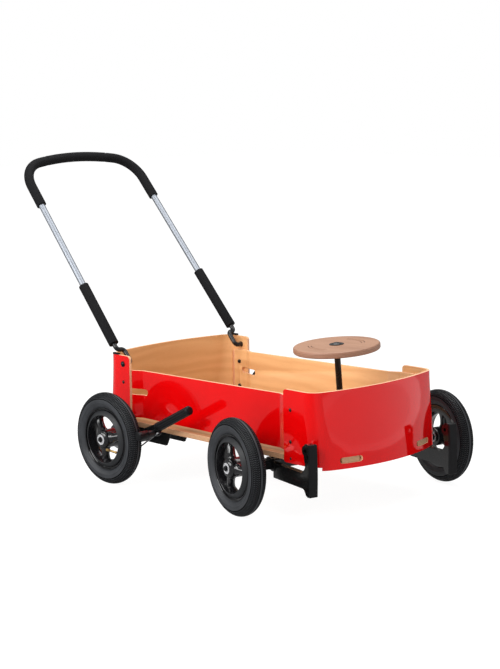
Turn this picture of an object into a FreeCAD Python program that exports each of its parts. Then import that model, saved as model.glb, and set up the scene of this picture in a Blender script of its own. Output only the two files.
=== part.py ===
import FreeCAD, Part
import math
import os

# Wooden children's wagon with a folding push-and-pull handle, a steered front axle,
# a steering wheel for the rider and a hand brake on the right rear wheel.
# Millimetres. +X is forward, +Y is the rider's left, +Z is up and the ground is z = 0.

V = FreeCAD.Vector
X_AXIS, Y_AXIS, Z_AXIS = V(1, 0, 0), V(0, 1, 0), V(0, 0, 1)
FAR = 1200.0                # past the end of any piece, for cutting tools
RIGHT, LEFT = -1, 1
SIDES = (("right", RIGHT), ("left", LEFT))

# ---------------------------------------------------------------- driving sizes
# running gear
WHEEL_R = 155.0             # 12 1/2 x 2 1/4 inch pneumatic tyre
TYRE_HALF_W = 26.5
TYRE_WALL = 4.2
WALL_RISE, WALL_LEAN, WALL_LEAN_IN = 11.0, 1.6, 2.2   # the side wall's curve near the bead
BEAD_RISE = 0.4
WHEELBASE = 702.0
TRACK = 793.0               # between the wheels' centre planes
REAR_AXLE_X = -163.0        # puts the origin under the middle of the whole wagon
STEER_REST = -12.8          # the front axle stands turned to the right
STEER_LIMIT = 20.0          # each way from straight ahead
AXLE_R = 7.5
BEAM_W = 30.0               # square axle tube
BEAM_WALL = 2.5
JOURNAL_SHOULDER = 18.0
SHOULDER_R = 11.5
END_PLATE_T = 5.0
JOURNAL_ROOT = 60.0         # how far a journal is buried in its axle tube
AXLE_BOLT_L = 20.0
AXLE_WASHER_R, AXLE_WASHER_T = 9.5, 2.0
AXLE_HEX_R, AXLE_HEX_T = 7.0, 4.5
FRONT_BEAM_DROP = 5.0       # front tube's centre below its axle line

# hubs, bearings and rims
HUB_R = 31.0
HUB_OUT = 36.0              # hub ends from the wheel's centre plane
BEARING_R = 17.5            # 15 x 35 x 11 ball bearing
BEARING_W = 11.0
BEARING_RACE = 3.2
RIM_FACE_R = 105.0
RIM_OPEN_R = 80.0
RIM_HALF_W = 19.0
RIM_WALL = 3.5
RIM_SEAT_R = 104.0
SPOKES = 3
SPOKE_HUB_R, SPOKE_WAIST_R, SPOKE_RIM_R = 15.5, 12.0, 16.0   # round spokes, waisted
SPOKE_WAIST_AT, SPOKE_END_AT = 58.0, 79.0
SPOKE_HUB_OUT, SPOKE_RIM_OUT = 12.0, -2.0
SPOKE_ROOT = 12.0           # how far a spoke runs into the hub
RIM_LIP_OUT = 27.0          # the rim's face is a shallow cone that stands out round the spokes
RIM_LIP_EDGE = 1.5
RIM_COVER_R, RIM_COVER_OUT = 95.5, 16.0
RIM_GROOVE_R, RIM_GROOVE_OUT = 102.0, 12.0   # shadow gap between that face and the tyre
RIM_THROAT_R, RIM_THROAT_HALF_W = 72.0, 4.0
VALVE_R = 3.0
VALVE_BEND_AT = 62.5        # from the axle, where the valve bends towards the rider
VALVE_TIP_AT, VALVE_TIP_OUT = 40.0, 36.0
VALVE_BEND_R = 6.0
VALVE_CAP_R, VALVE_CAP_L = 4.2, 12.0
INNER_TUBE_R, INNER_TUBE_WALL = 13.0, 1.5
RIM_WELL_DEPTH = 8.0
RIM_WELL_HALF_W = 6.0
RIM_BACK_EDGE = 3.0
HUB_BORE_R = 12.5
VALVE_AT = {"rear_right": -46.4, "front_right": 58.0, "rear_left": 100.0, "front_left": 20.0}
VALVE_INWARD = ("front_right",)     # this tube is fitted with its valve to the inside

# plywood tub
PLY = 9.0
TUB_HALF_W = 281.0          # outer face of the wings of the end panels
FRONT_WING_X = 717.0        # all tub stations are measured forward from the rear axle
REAR_WING_X = -24.0
FRONT_APEX_X = 885.0
REAR_APEX_X = -173.0
PANEL_RAKE = 36.0           # how far the foot of an end panel stands out past its top
FRONT_TOP_Z = 400.0
REAR_TOP_Z = 413.5
WING_FOOT_Z = 170.0
APRON_FOOT_Z = 160.0
APRON_STEP = 24.0           # the deeper apron starts this far behind the panel's top apex
APEX_R_TOP, APEX_R_FOOT = 940.0, 640.0
CORNER_R_TOP, CORNER_R_FOOT = 48.0, 70.0
WING_CORNER_R = 11.0
APRON_STEP_R = 4.0

SIDE_JOG = 25.0             # how far a side panel is stepped in between its joggles
SIDE_OUT = TUB_HALF_W - SIDE_JOG
SIDE_REAR_Z = 365.5
SIDE_FRONT_Z = 377.5
SIDE_FOOT_GAP = 9.0         # daylight between a side panel's foot and the floor board
SIDE_LAP = 70.0             # how far a side panel runs on inside each wing
JOGGLE_L = 36.0
JOGGLE_GAP = 4.0            # from a wing's edge to the start of the joggle
JOGGLE_R = 18.0
HAND_SLOT_H = 21.0
HAND_SLOT_Z = 293.0
HAND_SLOT_REAR, HAND_SLOT_FRONT = -45.0, 40.0

FLOOR_TOP_Z = 195.0
FLOOR_T = 18.0
FLOOR_LEDGE = 1.0           # past the wings
FLOOR_HALF_W = TUB_HALF_W + FLOOR_LEDGE
FLOOR_EDGE_R = 2.0
TAB_Y = 166.0
TAB_W = 60.0
SLOT_W = 80.0
SLOT_PLAY = 1.0
PANEL_FIT = 0.5             # floor board inside the end panels
TAB_RECESS = 1.0

# fasteners
PANEL_BOLT_R = 3.0
PANEL_HEAD_R = 6.0
PANEL_HEAD_H = 3.6
NUT_R = 6.5
NUT_H = 6.0
NUT_CAP_H = 4.0             # domed end of a cap nut
NUT_CAP_STEP = 0.5
NUT_FLAT_H = 4.0
SHANK_SHORT = 1.0           # a bolt ends this far short of its nut's dome
HOLE_PLAY = 0.1
RUN_FIT = 0.05              # radial clearance of a shaft in its bush
FACE_GAP = 0.3              # between faces that pass each other
REAR_BOLT_X = -57.5
FRONT_BOLT_X = 747.0
REAR_BOLT_ZS = (322.0, 233.0)
FRONT_BOLT_ZS = (337.0, 237.0)
FLOOR_SCREW_Z = 184.0
FLOOR_SCREW_R = 2.2
FLOOR_SCREW_L = 32.0
FLOOR_SCREW_HEAD_R, FLOOR_SCREW_HEAD_H = 4.4, 2.0
FLOOR_SCREW_HOLE = 2.0      # how much deeper a screw's hole is

# folding handle
PIVOT_Z = 384.3
HANDLE_LEAN = 48.4          # above horizontal, towards the back
TUBE_R, TUBE_WALL = 11.0, 1.8
FOAM_R = 17.5
ROD_R = 8.0
ROD_BEND_R = 13.0
HANDLE_FOOT = 58.0          # from the pivot along the leg to the crank's elbow
LEG_INSET, LEG_SPLAY = 7.0, 14.5
LEG_Y_FOOT = TUB_HALF_W - LEG_INSET
LEG_Y_TOP = LEG_Y_FOOT - LEG_SPLAY
BAR_TOP = 897.0             # crown of the bar
BAR_BOW = 137.0             # from the end of the legs' straight part to the crown
LEG_TOP = BAR_TOP - BAR_BOW
BAR_CROWN_R = 900.0
BAR_CORNER_R = 108.0
CRANK_INSET = 36.0
CRANK_Y = TUB_HALF_W - CRANK_INSET
GRIP_SEAM_Y = 135.0
SEAM_GAP = 1.5
GRIP_ON_LEG = 70.0
GRIP_END = LEG_TOP - GRIP_ON_LEG
SLEEVE_FROM, SLEEVE_TO = 84.0, 333.0
PIVOT_BOLT_R = 5.0
PIVOT_HEAD_R = 8.5
PIVOT_HEAD_H = 4.5
BUSH_WALL = 2.0
BUSH_FLANGE = 2.0
STOP_PAD_L = 30.0

# steering
KINGPIN_R = 8.0
KINGPIN_BUSH_WALL, BUSH_COLLAR = 4.0, 3.0
COUPLER_ROOM = 1.0          # round the kingpin's head, between the stand's cheeks
TURNTABLE_R = 88.0
UPPER_PLATE_T = 3.8
WEAR_RING_T = 3.0
WEAR_RING_R = 62.0
LOWER_PLATE_T = 4.9
STOP_RING_R = 74.0
STOP_PIN_R = 4.0
COUPLER_Z = 222.0
COUPLER_R = 15.0
COUPLER_SLOT = 12.6
COLUMN_TANG = 10.0
COLUMN_RAKE = 1.7
COLUMN_LEAN = 3.4           # to the rider's right, taken up by the loose fit of its foot
COLUMN_R = 10.0
HEAD_FROM, HEAD_TO = 26.0, 80.0
HEAD_R = 16.0
HEAD_BASE_W, HEAD_BASE_T = 112.0, 4.0
HEAD_BOLT_AT = 44.0
HEAD_BASE_CORNER_R = 10.0
HEAD_CHEEK_FOOT, HEAD_CHEEK_TOP = 34.0, 12.0    # half lengths of a cheek
HEAD_CHEEK_T, HEAD_CHEEK_SUNK, HEAD_CHEEK_DROP, HEAD_CHEEK_R = 4.0, 0.5, 6.0, 6.0
COLUMN_BUSH_L = 12.0
KINGPIN_HEAD_R, KINGPIN_HEAD_T = 13.0, 5.0
KINGPIN_SUNK = 2.0          # how far the pin runs up into its slotted head
COUPLER_TOP, COUPLER_FLOOR_T = 10.0, 7.0
STOP_SLOT_PLAY = 0.6
STOP_ANGLE_PLAY = 0.3       # along the stop ring
WEAR_RING_HOLE = 12.0
TANG_FROM, TANG_TO = 9.0, 16.0
COLUMN_FOOT = 14.0
COLLAR_T, LOWER_COLLAR_T, COLLAR_STEP = 7.0, 4.0, 1.0
HUB_PLATE_T = 4.0
COLUMN_END_GAP = 1.0
GROOVE_RS, GROOVE_HALF_W, GROOVE_DEPTH = (80.0, 90.0), 1.5, 1.5
GROOVE_WINDOW = (100.0, 150.0)      # forward and sideways reach of the wedge a groove runs through
CAP_R, CAP_RISE, CAP_SKIRT_R, CAP_SKIRT_T = 20.0, 7.0, 23.0, 2.0
STEERING_WHEEL_R = 139.5
STEERING_WHEEL_T = 20.0
STEERING_WHEEL_AT = 271.6   # from the coupling along the column
STEERING_EDGE_R = 6.0
HUB_PLATE_R = 32.0

# brackets ahead of the front axle
BRACKET_INSET = 17.0
BRACKET_Y = TUB_HALF_W - BRACKET_INSET
BRACKET_W = 28.0
BRACKET_FRONT = 240.0       # front of the pad, from the kingpin
BRACKET_TOP_Z, BRACKET_WAIST_Z, BRACKET_FOOT_Z = 251.0, 170.0, 88.0
SADDLE_T = 4.0
PAD_T = 9.0
ARM_TOP_Z, ARM_FOOT_Z = 156.0, 108.0
BRACKET_HOLE_R = 6.1
BRACKET_BOSS_R = 17.0
BRACKET_EDGE = 4.0          # metal round the boss, and the casting's flanges past its web
BRACKET_TOP_BACK, BRACKET_TOP_L, BRACKET_NECK_DROP = 4.0, 30.0, 46.0
BRACKET_NECK_L, BRACKET_FOOT_L, BRACKET_GUSSET_L, BRACKET_HEEL_L = 26.0, 20.0, 46.0, 36.0
BRACKET_FLANGE_T, BRACKET_FOOT_STEP, BRACKET_NECK_RISE = 10.0, 2.0, 6.0
BRACKET_CROWN_R = 900.0     # the upright's front is a long shallow curve
SADDLE_AHEAD = 14.0
PAD_STEP, PAD_EDGE_R = 5.0, 3.0

# brake
BRAKE_OUT = 49.0                # the lever stands this far outside the tub
BRAKE_Y = -TUB_HALF_W - BRAKE_OUT
BRAKE_PIVOT = (81.0, 167.5)     # side-view places, forward of the rear axle and above the ground
BRAKE_BEND = (171.0, 204.0)
BRAKE_GRIP_TIP = (338.0, 288.0)
BRAKE_LUG = (187.0, 190.0)
BRAKE_BAR = (169.5, 187.2)      # cross bar whose rubber sleeve meets the tyre's tread
BRAKE_BAR_R, BRAKE_BAR_SLEEVE_R = 12.0, 15.0
BRAKE_BAR_PAST = 15.5           # past the wheel's centre plane
BRAKE_BAR_SLEEVE_L = 42.0
BRAKE_BAR_END_R, BRAKE_BAR_CAP_T = 4.0, 3.0
BAR_NOTCH_L, BAR_NOTCH_W, BAR_NOTCH_UP = 60.0, 9.0, 5.0     # the pull rod passes through the bar
BRAKE_ARM_PIVOT = (58.0, 142.0)
BRAKE_ARM_TIP = (56.0, 104.0)
LEVER_H, LEVER_W = 27.0, 14.0
LEVER_BOSS_R = 16.0
GRIP_R, GRIP_CORE_R = 15.5, 8.0
COLLAR_R, COLLAR_L, COLLAR_AT = 16.5, 9.0, 6.0
BRAKE_PIN_R, ARM_PIN_R = 5.0, 4.0
BRAKE_ROD_R = 2.5
BRAKE_ROD_Y = BRAKE_Y - 11.0
OPEN_PIVOT_PLAY = 0.35          # the rod's lower pin has room for the linkage's small misfit
ARM_Y, ARM_T = BRAKE_Y - 15.0, 4.0
SHOE_FACE_X = 49.5
SHOE_Z0, SHOE_Z1 = 150.0, 163.0
SHOE_T, SHOE_HUB_GAP = 9.0, 1.0
DRUM_R, DRUM_W, DRUM_WALL = 42.0, 15.0, 5.0
DRUM_FACE_T, DRUM_BORE_STEP = 4.0, 6.0
DRUM_SCREWS, DRUM_SCREW_AT, DRUM_SCREW_R, DRUM_SCREW_H = 3, 24.0, 4.5, 2.5
LEVER_CAP_R, ARM_CAP_R, PIN_CAP_H = 9.0, 7.0, 5.0
GRIP_CORE_SHORT = 14.0      # the grip's closed end past its steel core
GRIP_END_R = 7.0
LUG_H, LUG_T, LUG_ROOT = 13.0, 8.0, 6.0
BRAKE_ROD_BEND_R = 3.0
ROD_PIN_PLAY = 1.0          # past the lug, where the rod's end turns in
ARM_UPPER_W, ARM_LOWER_W, SHOE_SEAT = 14.0, 12.0, 6.0

# rear axle hangers
HANGER_REAR = -66.0
HANGER_FRONTS = {RIGHT: 170.0, LEFT: 66.0}     # the right one runs on to carry the brake
HANGER_INSET, HANGER_W = 13.0, 84.0
HANGER_OUT = TUB_HALF_W - HANGER_INSET
HANGER_IN = HANGER_OUT - HANGER_W
HANGER_FOOT_Z = 129.0
HANGER_T = 4.0
HANGER_SLANT, HANGER_CORNER_R = 24.0, 8.0
HANGER_BOLT_XS = {RIGHT: (-44.0, 120.0), LEFT: (-44.0, 44.0)}
HANGER_BOLT_YS = (HANGER_IN + 18.0, HANGER_IN + 54.0)

# ---------------------------------------------------------------- worked-out places
AXLE_Z = WHEEL_R
FRONT_AXLE_X = REAR_AXLE_X + WHEELBASE
HALF_TRACK = TRACK / 2
WING_IN = TUB_HALF_W - PLY
SIDE_IN = SIDE_OUT - PLY
FLOOR_FOOT_Z = FLOOR_TOP_Z - FLOOR_T
SIDE_FOOT_Z = FLOOR_TOP_Z + SIDE_FOOT_GAP
PIVOT_X = REAR_AXLE_X + REAR_BOLT_X
LEG_DIR = V(-math.cos(math.radians(HANDLE_LEAN)), 0, math.sin(math.radians(HANDLE_LEAN)))
COLUMN_DIR = V(-math.sin(math.radians(COLUMN_RAKE)),
               -math.cos(math.radians(COLUMN_RAKE)) * math.sin(math.radians(COLUMN_LEAN)),
               math.cos(math.radians(COLUMN_RAKE)) * math.cos(math.radians(COLUMN_LEAN)))
COUPLER = V(FRONT_AXLE_X, 0, COUPLER_Z)
COLUMN_TO_BUSH = BUSH_FLANGE + FACE_GAP
UPPER_PLATE_FOOT = FLOOR_FOOT_Z - UPPER_PLATE_T
WEAR_TOP = UPPER_PLATE_FOOT - FACE_GAP
LOWER_PLATE_TOP = WEAR_TOP - WEAR_RING_T
FRONT_BEAM_Z = AXLE_Z - FRONT_BEAM_DROP
HEAD_TOP_Z = FLOOR_TOP_Z + HEAD_BASE_T
BEAM_END = HALF_TRACK - HUB_OUT - JOURNAL_SHOULDER
BUSH_R = KINGPIN_R + RUN_FIT + KINGPIN_BUSH_WALL
BOLT_HOLE_R = PANEL_BOLT_R + HOLE_PLAY
PIVOT_BUSH_R = PIVOT_BOLT_R + RUN_FIT + BUSH_WALL


# ---------------------------------------------------------------- geometry helpers
def station(x):
    """Place along the wagon of a point measured forward from the rear axle."""
    return REAR_AXLE_X + x


def cyl(radius, base, direction, length):
    return Part.makeCylinder(radius, length, base, direction)


def box(x0, x1, y0, y1, z0, z1):
    return Part.makeBox(x1 - x0, y1 - y0, z1 - z0, V(x0, y0, z0))


def bore_y(radius, x, z, y0=-FAR, y1=FAR):
    """Tool for a hole across the wagon."""
    return cyl(radius, V(x, y0, z), Y_AXIS, y1 - y0)


def bore_z(radius, x, y):
    """Tool for a hole straight down."""
    return cyl(radius, V(x, y, -FAR), Z_AXIS, 2 * FAR)


def mirrored(shape):
    """The same piece for the wagon's other side."""
    return shape.mirror(V(0, 0, 0), Y_AXIS)


def ring(outer, inner, base, direction, length):
    return cyl(outer, base, direction, length).cut(cyl(inner, base, direction, length))


def rounded_wire(points, radii):
    """Closed wire through the points, each corner rounded to its own radius."""
    count = len(points)
    starts, ends, mids = [], [], []
    for i, corner in enumerate(points):
        before, after = points[i - 1], points[(i + 1) % count]
        a, b = (before - corner).normalize(), (after - corner).normalize()
        half = a.getAngle(b) / 2
        if radii[i] <= 0 or half > math.radians(89.9):
            starts.append(corner)
            ends.append(corner)
            mids.append(None)
            continue
        reach = radii[i] / math.tan(half)
        inward = (a + b).normalize()
        centre = corner + inward * (radii[i] / math.sin(half))
        starts.append(corner + a * reach)
        ends.append(corner + b * reach)
        mids.append(centre - inward * radii[i])
    edges = []
    for i in range(count):
        if mids[i] is not None:
            edges.append(Part.Arc(starts[i], mids[i], ends[i]).toShape())
        nxt = (i + 1) % count
        if (ends[i] - starts[nxt]).Length > 1e-6:
            edges.append(Part.makeLine(ends[i], starts[nxt]))
    return Part.Wire(edges)


def plate_xz(points, radii, y0, y1):
    """Plate cut to an outline in the side view, from y0 to y1."""
    wire = rounded_wire([V(x, y0, z) for x, z in points], radii)
    return Part.Face(wire).extrude(V(0, y1 - y0, 0))


def plate_xy(points, radii, z0, z1):
    wire = rounded_wire([V(x, y, z0) for x, y in points], radii)
    return Part.Face(wire).extrude(V(0, 0, z1 - z0))


def revolved(points_or_edges, centre, axis):
    """Full turn of a closed profile about an axis."""
    face = Part.Face(Part.Wire(points_or_edges))
    solid = face.revolve(centre, axis, 360)
    return solid


def rod(points, radius, bend):
    """Round bar along straight runs joined by tangent bends."""
    edges = []
    last = points[0]
    for i in range(1, len(points) - 1):
        a, b = (points[i - 1] - points[i]).normalize(), (points[i + 1] - points[i]).normalize()
        half = a.getAngle(b) / 2
        reach = bend / math.tan(half)
        inward = (a + b).normalize()
        centre = points[i] + inward * (bend / math.sin(half))
        start, end = points[i] + a * reach, points[i] + b * reach
        edges.append(Part.makeLine(last, start))
        edges.append(Part.Arc(start, centre - inward * bend, end).toShape())
        last = end
    edges.append(Part.makeLine(last, points[-1]))
    return swept(edges, radius)


def swept(edges, radius):
    path = Part.Wire(edges)
    start = edges[0].valueAt(edges[0].FirstParameter)
    tangent = edges[0].tangentAt(edges[0].FirstParameter)
    profile = Part.Wire([Part.makeCircle(radius, start, tangent)])
    return path.makePipeShell([profile], True, True)


def dome(radius, height, base, direction):
    """Low round head standing on a face."""
    sphere_r = (radius * radius + height * height) / (2 * height)
    centre = base - direction * (sphere_r - height)
    ball = Part.makeSphere(sphere_r, centre)
    return ball.common(cyl(radius + 1, base, direction, height + 1))


def turned(shape):
    """Turn a piece of the front axle to where the axle stands at rest."""
    copy = shape.copy()
    copy.rotate(V(FRONT_AXLE_X, 0, 0), Z_AXIS, STEER_REST)
    return copy


def on_column(shape):
    """Lean a piece drawn upright over the coupling to the column's rake."""
    copy = shape.copy()
    copy.rotate(COUPLER, Z_AXIS, STEER_REST)
    copy.rotate(COUPLER, Y_AXIS, -COLUMN_RAKE)
    copy.rotate(COUPLER, X_AXIS, COLUMN_LEAN)
    return copy


def group(shapes):
    return shapes[0] if len(shapes) == 1 else Part.makeCompound(shapes)


# ---------------------------------------------------------------- tub
def end_arcs(z, inset, forward):
    """Corner and apex circles of one end panel's outline at a height."""
    share = (FRONT_TOP_Z - z) / (FRONT_TOP_Z - APRON_FOOT_Z)
    top_apex = station(FRONT_APEX_X if forward > 0 else REAR_APEX_X)
    apex = top_apex + forward * (PANEL_RAKE * share - inset)
    apex_r = APEX_R_TOP + (APEX_R_FOOT - APEX_R_TOP) * share - inset
    corner_r = CORNER_R_TOP + (CORNER_R_FOOT - CORNER_R_TOP) * share - inset
    half = TUB_HALF_W - inset
    apex_cx = apex - forward * apex_r
    corner_y = half - corner_r
    corner_x = apex_cx + forward * math.sqrt((apex_r - corner_r) ** 2 - corner_y ** 2)
    meet = V(corner_x - apex_cx, corner_y, 0).normalize()
    touch = V(apex_cx, 0, 0) + meet * apex_r
    out = V(meet.x, meet.y + 1, 0).normalize()
    middle = V(corner_x, corner_y, 0) + out * corner_r
    return apex, half, corner_x, middle, touch


def tub_outline(z, inset):
    """Closed outline of the whole tub at a height, inset from its outer face."""
    fa, half, fx, fm, ft = end_arcs(z, inset, 1)
    ra, half, rx, rm, rt = end_arcs(z, inset, -1)

    def at(x, y):
        return V(x, y, z)
    edges = [
        Part.makeLine(at(rx, -half), at(fx, -half)),
        Part.Arc(at(fx, -half), at(fm.x, -fm.y), at(ft.x, -ft.y)).toShape(),
        Part.Arc(at(ft.x, -ft.y), at(fa, 0), at(ft.x, ft.y)).toShape(),
        Part.Arc(at(ft.x, ft.y), at(fm.x, fm.y), at(fx, half)).toShape(),
        Part.makeLine(at(fx, half), at(rx, half)),
        Part.Arc(at(rx, half), at(rm.x, rm.y), at(rt.x, rt.y)).toShape(),
        Part.Arc(at(rt.x, rt.y), at(ra, 0), at(rt.x, -rt.y)).toShape(),
        Part.Arc(at(rt.x, -rt.y), at(rm.x, -rm.y), at(rx, -half)).toShape(),
    ]
    return Part.Wire(edges)


def tub_body(inset):
    """Solid block whose sides are the tub's outer face moved inwards."""
    low, high = APRON_FOOT_Z - 10, REAR_TOP_Z + 10
    return Part.makeLoft([tub_outline(low, inset), tub_outline(high, inset)], True, True)


def end_trim(forward):
    """Side-view outline of an end panel: wings, deeper apron and round corners."""
    wing, apex, top = ((FRONT_WING_X, FRONT_APEX_X, FRONT_TOP_Z) if forward > 0
                       else (REAR_WING_X, REAR_APEX_X, REAR_TOP_Z))
    step = station(apex - forward * APRON_STEP)
    far = forward * FAR
    points = [(station(wing), top), (station(wing), WING_FOOT_Z), (step, WING_FOOT_Z),
              (step, APRON_FOOT_Z), (far, APRON_FOOT_Z), (far, top)]
    radii = [WING_CORNER_R, WING_CORNER_R, APRON_STEP_R, APRON_STEP_R, 0, 0]
    return plate_xz(points, radii, -FAR, FAR)


def tab_slots(forward):
    """Round-ended slots that the floor board's tabs go through."""
    height = FLOOR_T + SLOT_PLAY
    z_mid = FLOOR_TOP_Z - FLOOR_T / 2
    x0 = 0 if forward > 0 else -FAR
    tools = []
    for side in (RIGHT, LEFT):
        half = SLOT_W / 2 - height / 2
        y = side * TAB_Y
        tool = box(x0, x0 + FAR, y - half, y + half, z_mid - height / 2, z_mid + height / 2)
        for end in (-half, half):
            tool = tool.fuse(cyl(height / 2, V(x0, y + end, z_mid), X_AXIS, FAR))
        tools.append(tool.removeSplitter())
    return tools


def end_panel(forward, outer, inner):
    bolt_x = FRONT_BOLT_X if forward > 0 else REAR_BOLT_X
    bolt_zs = FRONT_BOLT_ZS if forward > 0 else REAR_BOLT_ZS
    x0, x1 = sorted((0, forward * FAR))
    half = box(x0, x1, -TUB_HALF_W, TUB_HALF_W, APRON_FOOT_Z, REAR_TOP_Z)
    panel = outer.cut(inner).common(half).common(end_trim(forward))
    cuts = tab_slots(forward)
    for z in bolt_zs:
        cuts.append(bore_y(BOLT_HOLE_R, station(bolt_x), z))
    cuts.append(bore_y(FLOOR_SCREW_R + HOLE_PLAY, station(bolt_x), FLOOR_SCREW_Z))
    if forward < 0:
        cuts.append(bore_y(PIVOT_BUSH_R, PIVOT_X, PIVOT_Z))
    return panel.cut(cuts)


def side_panel():
    """Right side panel: straight between two joggles, its ends lapped inside the wings."""
    rear, front = station(REAR_WING_X), station(FRONT_WING_X)
    start, stop = rear + JOGGLE_GAP, front - JOGGLE_GAP
    outer = [(rear - SIDE_LAP, -WING_IN), (start, -WING_IN), (start + JOGGLE_L, -SIDE_OUT),
             (stop - JOGGLE_L, -SIDE_OUT), (stop, -WING_IN), (front + SIDE_LAP, -WING_IN)]
    bend = math.atan2(WING_IN - SIDE_OUT, JOGGLE_L)
    shift = PLY * math.tan(bend / 2)
    inner = [(rear - SIDE_LAP, PLY - WING_IN), (start - shift, PLY - WING_IN),
             (start + JOGGLE_L - shift, -SIDE_IN), (stop - JOGGLE_L + shift, -SIDE_IN),
             (stop + shift, PLY - WING_IN), (front + SIDE_LAP, PLY - WING_IN)]
    tight, wide = JOGGLE_R, JOGGLE_R + PLY
    radii = [0, wide, tight, tight, wide, 0, 0, tight, wide, wide, tight, 0]
    strip = plate_xy(outer + inner[::-1], radii, SIDE_FOOT_Z, REAR_TOP_Z)
    slope = (SIDE_FRONT_Z - SIDE_REAR_Z) / (FRONT_WING_X - REAR_WING_X)
    x0, x1 = rear - SIDE_LAP, front + SIDE_LAP
    trim = plate_xz([(x0, SIDE_REAR_Z - slope * SIDE_LAP), (x0, SIDE_FOOT_Z), (x1, SIDE_FOOT_Z),
                     (x1, SIDE_FRONT_Z + slope * SIDE_LAP)], [WING_CORNER_R] * 4, -FAR, 0)
    slot_r = HAND_SLOT_H / 2
    z0, z1 = HAND_SLOT_Z - slot_r, HAND_SLOT_Z + slot_r
    slot = plate_xz([(station(HAND_SLOT_REAR), z0), (station(HAND_SLOT_FRONT), z0),
                     (station(HAND_SLOT_FRONT), z1), (station(HAND_SLOT_REAR), z1)],
                    [slot_r - 0.01] * 4, -FAR, 0)
    cuts = [slot]
    for x, zs in ((REAR_BOLT_X, REAR_BOLT_ZS), (FRONT_BOLT_X, FRONT_BOLT_ZS)):
        for z in zs:
            cuts.append(bore_y(BOLT_HOLE_R, station(x), z))
    return strip.common(trim).cut(cuts)


def head_bolt_places():
    return [V(FRONT_AXLE_X + sx * HEAD_BOLT_AT, sy * HEAD_BOLT_AT, 0)
            for sx in (-1, 1) for sy in (-1, 1)]


def hanger_bolt_places():
    return [V(station(x), side * y, 0)
            for side in (RIGHT, LEFT) for x in HANGER_BOLT_XS[side] for y in HANGER_BOLT_YS]


def floor_board():
    slab = box(-FAR, FAR, -TUB_HALF_W, TUB_HALF_W, FLOOR_FOOT_Z, FLOOR_TOP_Z)
    board = tub_body(PLY + PANEL_FIT).common(slab)
    ledge = box(station(REAR_WING_X) + PANEL_FIT, station(FRONT_WING_X) - PANEL_FIT,
                -FLOOR_HALF_W, FLOOR_HALF_W, FLOOR_FOOT_Z, FLOOR_TOP_Z)
    long_edges = [e for e in ledge.Edges
                  if abs(e.BoundBox.XLength - ledge.BoundBox.XLength) < 0.01]
    ledge = ledge.makeFillet(FLOOR_EDGE_R, long_edges)
    board = board.fuse(ledge)
    envelope = tub_body(TAB_RECESS)
    for side in (RIGHT, LEFT):
        y0, y1 = side * TAB_Y - TAB_W / 2, side * TAB_Y + TAB_W / 2
        board = board.fuse(box(-FAR, FAR, y0, y1, FLOOR_FOOT_Z, FLOOR_TOP_Z).common(envelope))
    board = board.removeSplitter()
    holes = [bore_z(BUSH_R, FRONT_AXLE_X, 0)]
    for at in head_bolt_places() + hanger_bolt_places():
        holes.append(bore_z(BOLT_HOLE_R, at.x, at.y))
    for x in (REAR_BOLT_X, FRONT_BOLT_X):
        for side in (RIGHT, LEFT):
            reach = FLOOR_SCREW_L + FLOOR_SCREW_HOLE
            start = V(station(x), side * (TUB_HALF_W - reach), FLOOR_SCREW_Z)
            holes.append(cyl(FLOOR_SCREW_R, start, Y_AXIS * side, reach + PLY))
    return board.cut(holes)


def through_bolt(face, inward, grip):
    """Button-head bolt from a face through the given thickness, with room for its nut."""
    shank = cyl(PANEL_BOLT_R, face, inward, grip + NUT_H - SHANK_SHORT)
    return shank.fuse(dome(PANEL_HEAD_R, PANEL_HEAD_H, face, inward * -1))


def cap_nut(face, inward):
    cap = dome(NUT_R - NUT_CAP_STEP, NUT_CAP_H, face + inward * NUT_FLAT_H, inward)
    body = cyl(NUT_R, face, inward, NUT_FLAT_H).fuse(cap)
    return body.cut(cyl(PANEL_BOLT_R, face, inward, NUT_H - SHANK_SHORT))


def panel_bolts():
    bolts = []
    for x, zs in ((REAR_BOLT_X, REAR_BOLT_ZS), (FRONT_BOLT_X, FRONT_BOLT_ZS)):
        for z in zs:
            for side in (RIGHT, LEFT):
                inward = V(0, -side, 0)
                face = V(station(x), side * TUB_HALF_W, z)
                bolts.append(through_bolt(face, inward, 2 * PLY))
                bolts.append(cap_nut(face + inward * (2 * PLY), inward))
    return group(bolts)


def floor_screws():
    screws = []
    for x in (REAR_BOLT_X, FRONT_BOLT_X):
        for side in (RIGHT, LEFT):
            inward = V(0, -side, 0)
            face = V(station(x), side * TUB_HALF_W, FLOOR_SCREW_Z)
            head = dome(FLOOR_SCREW_HEAD_R, FLOOR_SCREW_HEAD_H, face, inward * -1)
            screws.append(head.fuse(cyl(FLOOR_SCREW_R, face, inward, FLOOR_SCREW_L)))
    return group(screws)


# ---------------------------------------------------------------- running gear
def square_beam(x, z, half_length):
    """Square tube across the wagon."""
    h = BEAM_W / 2
    k = h - BEAM_WALL
    tube = box(x - h, x + h, -half_length, half_length, z - h, z + h)
    return tube.cut(box(x - k, x + k, -half_length, half_length, z - k, z + k))


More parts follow.
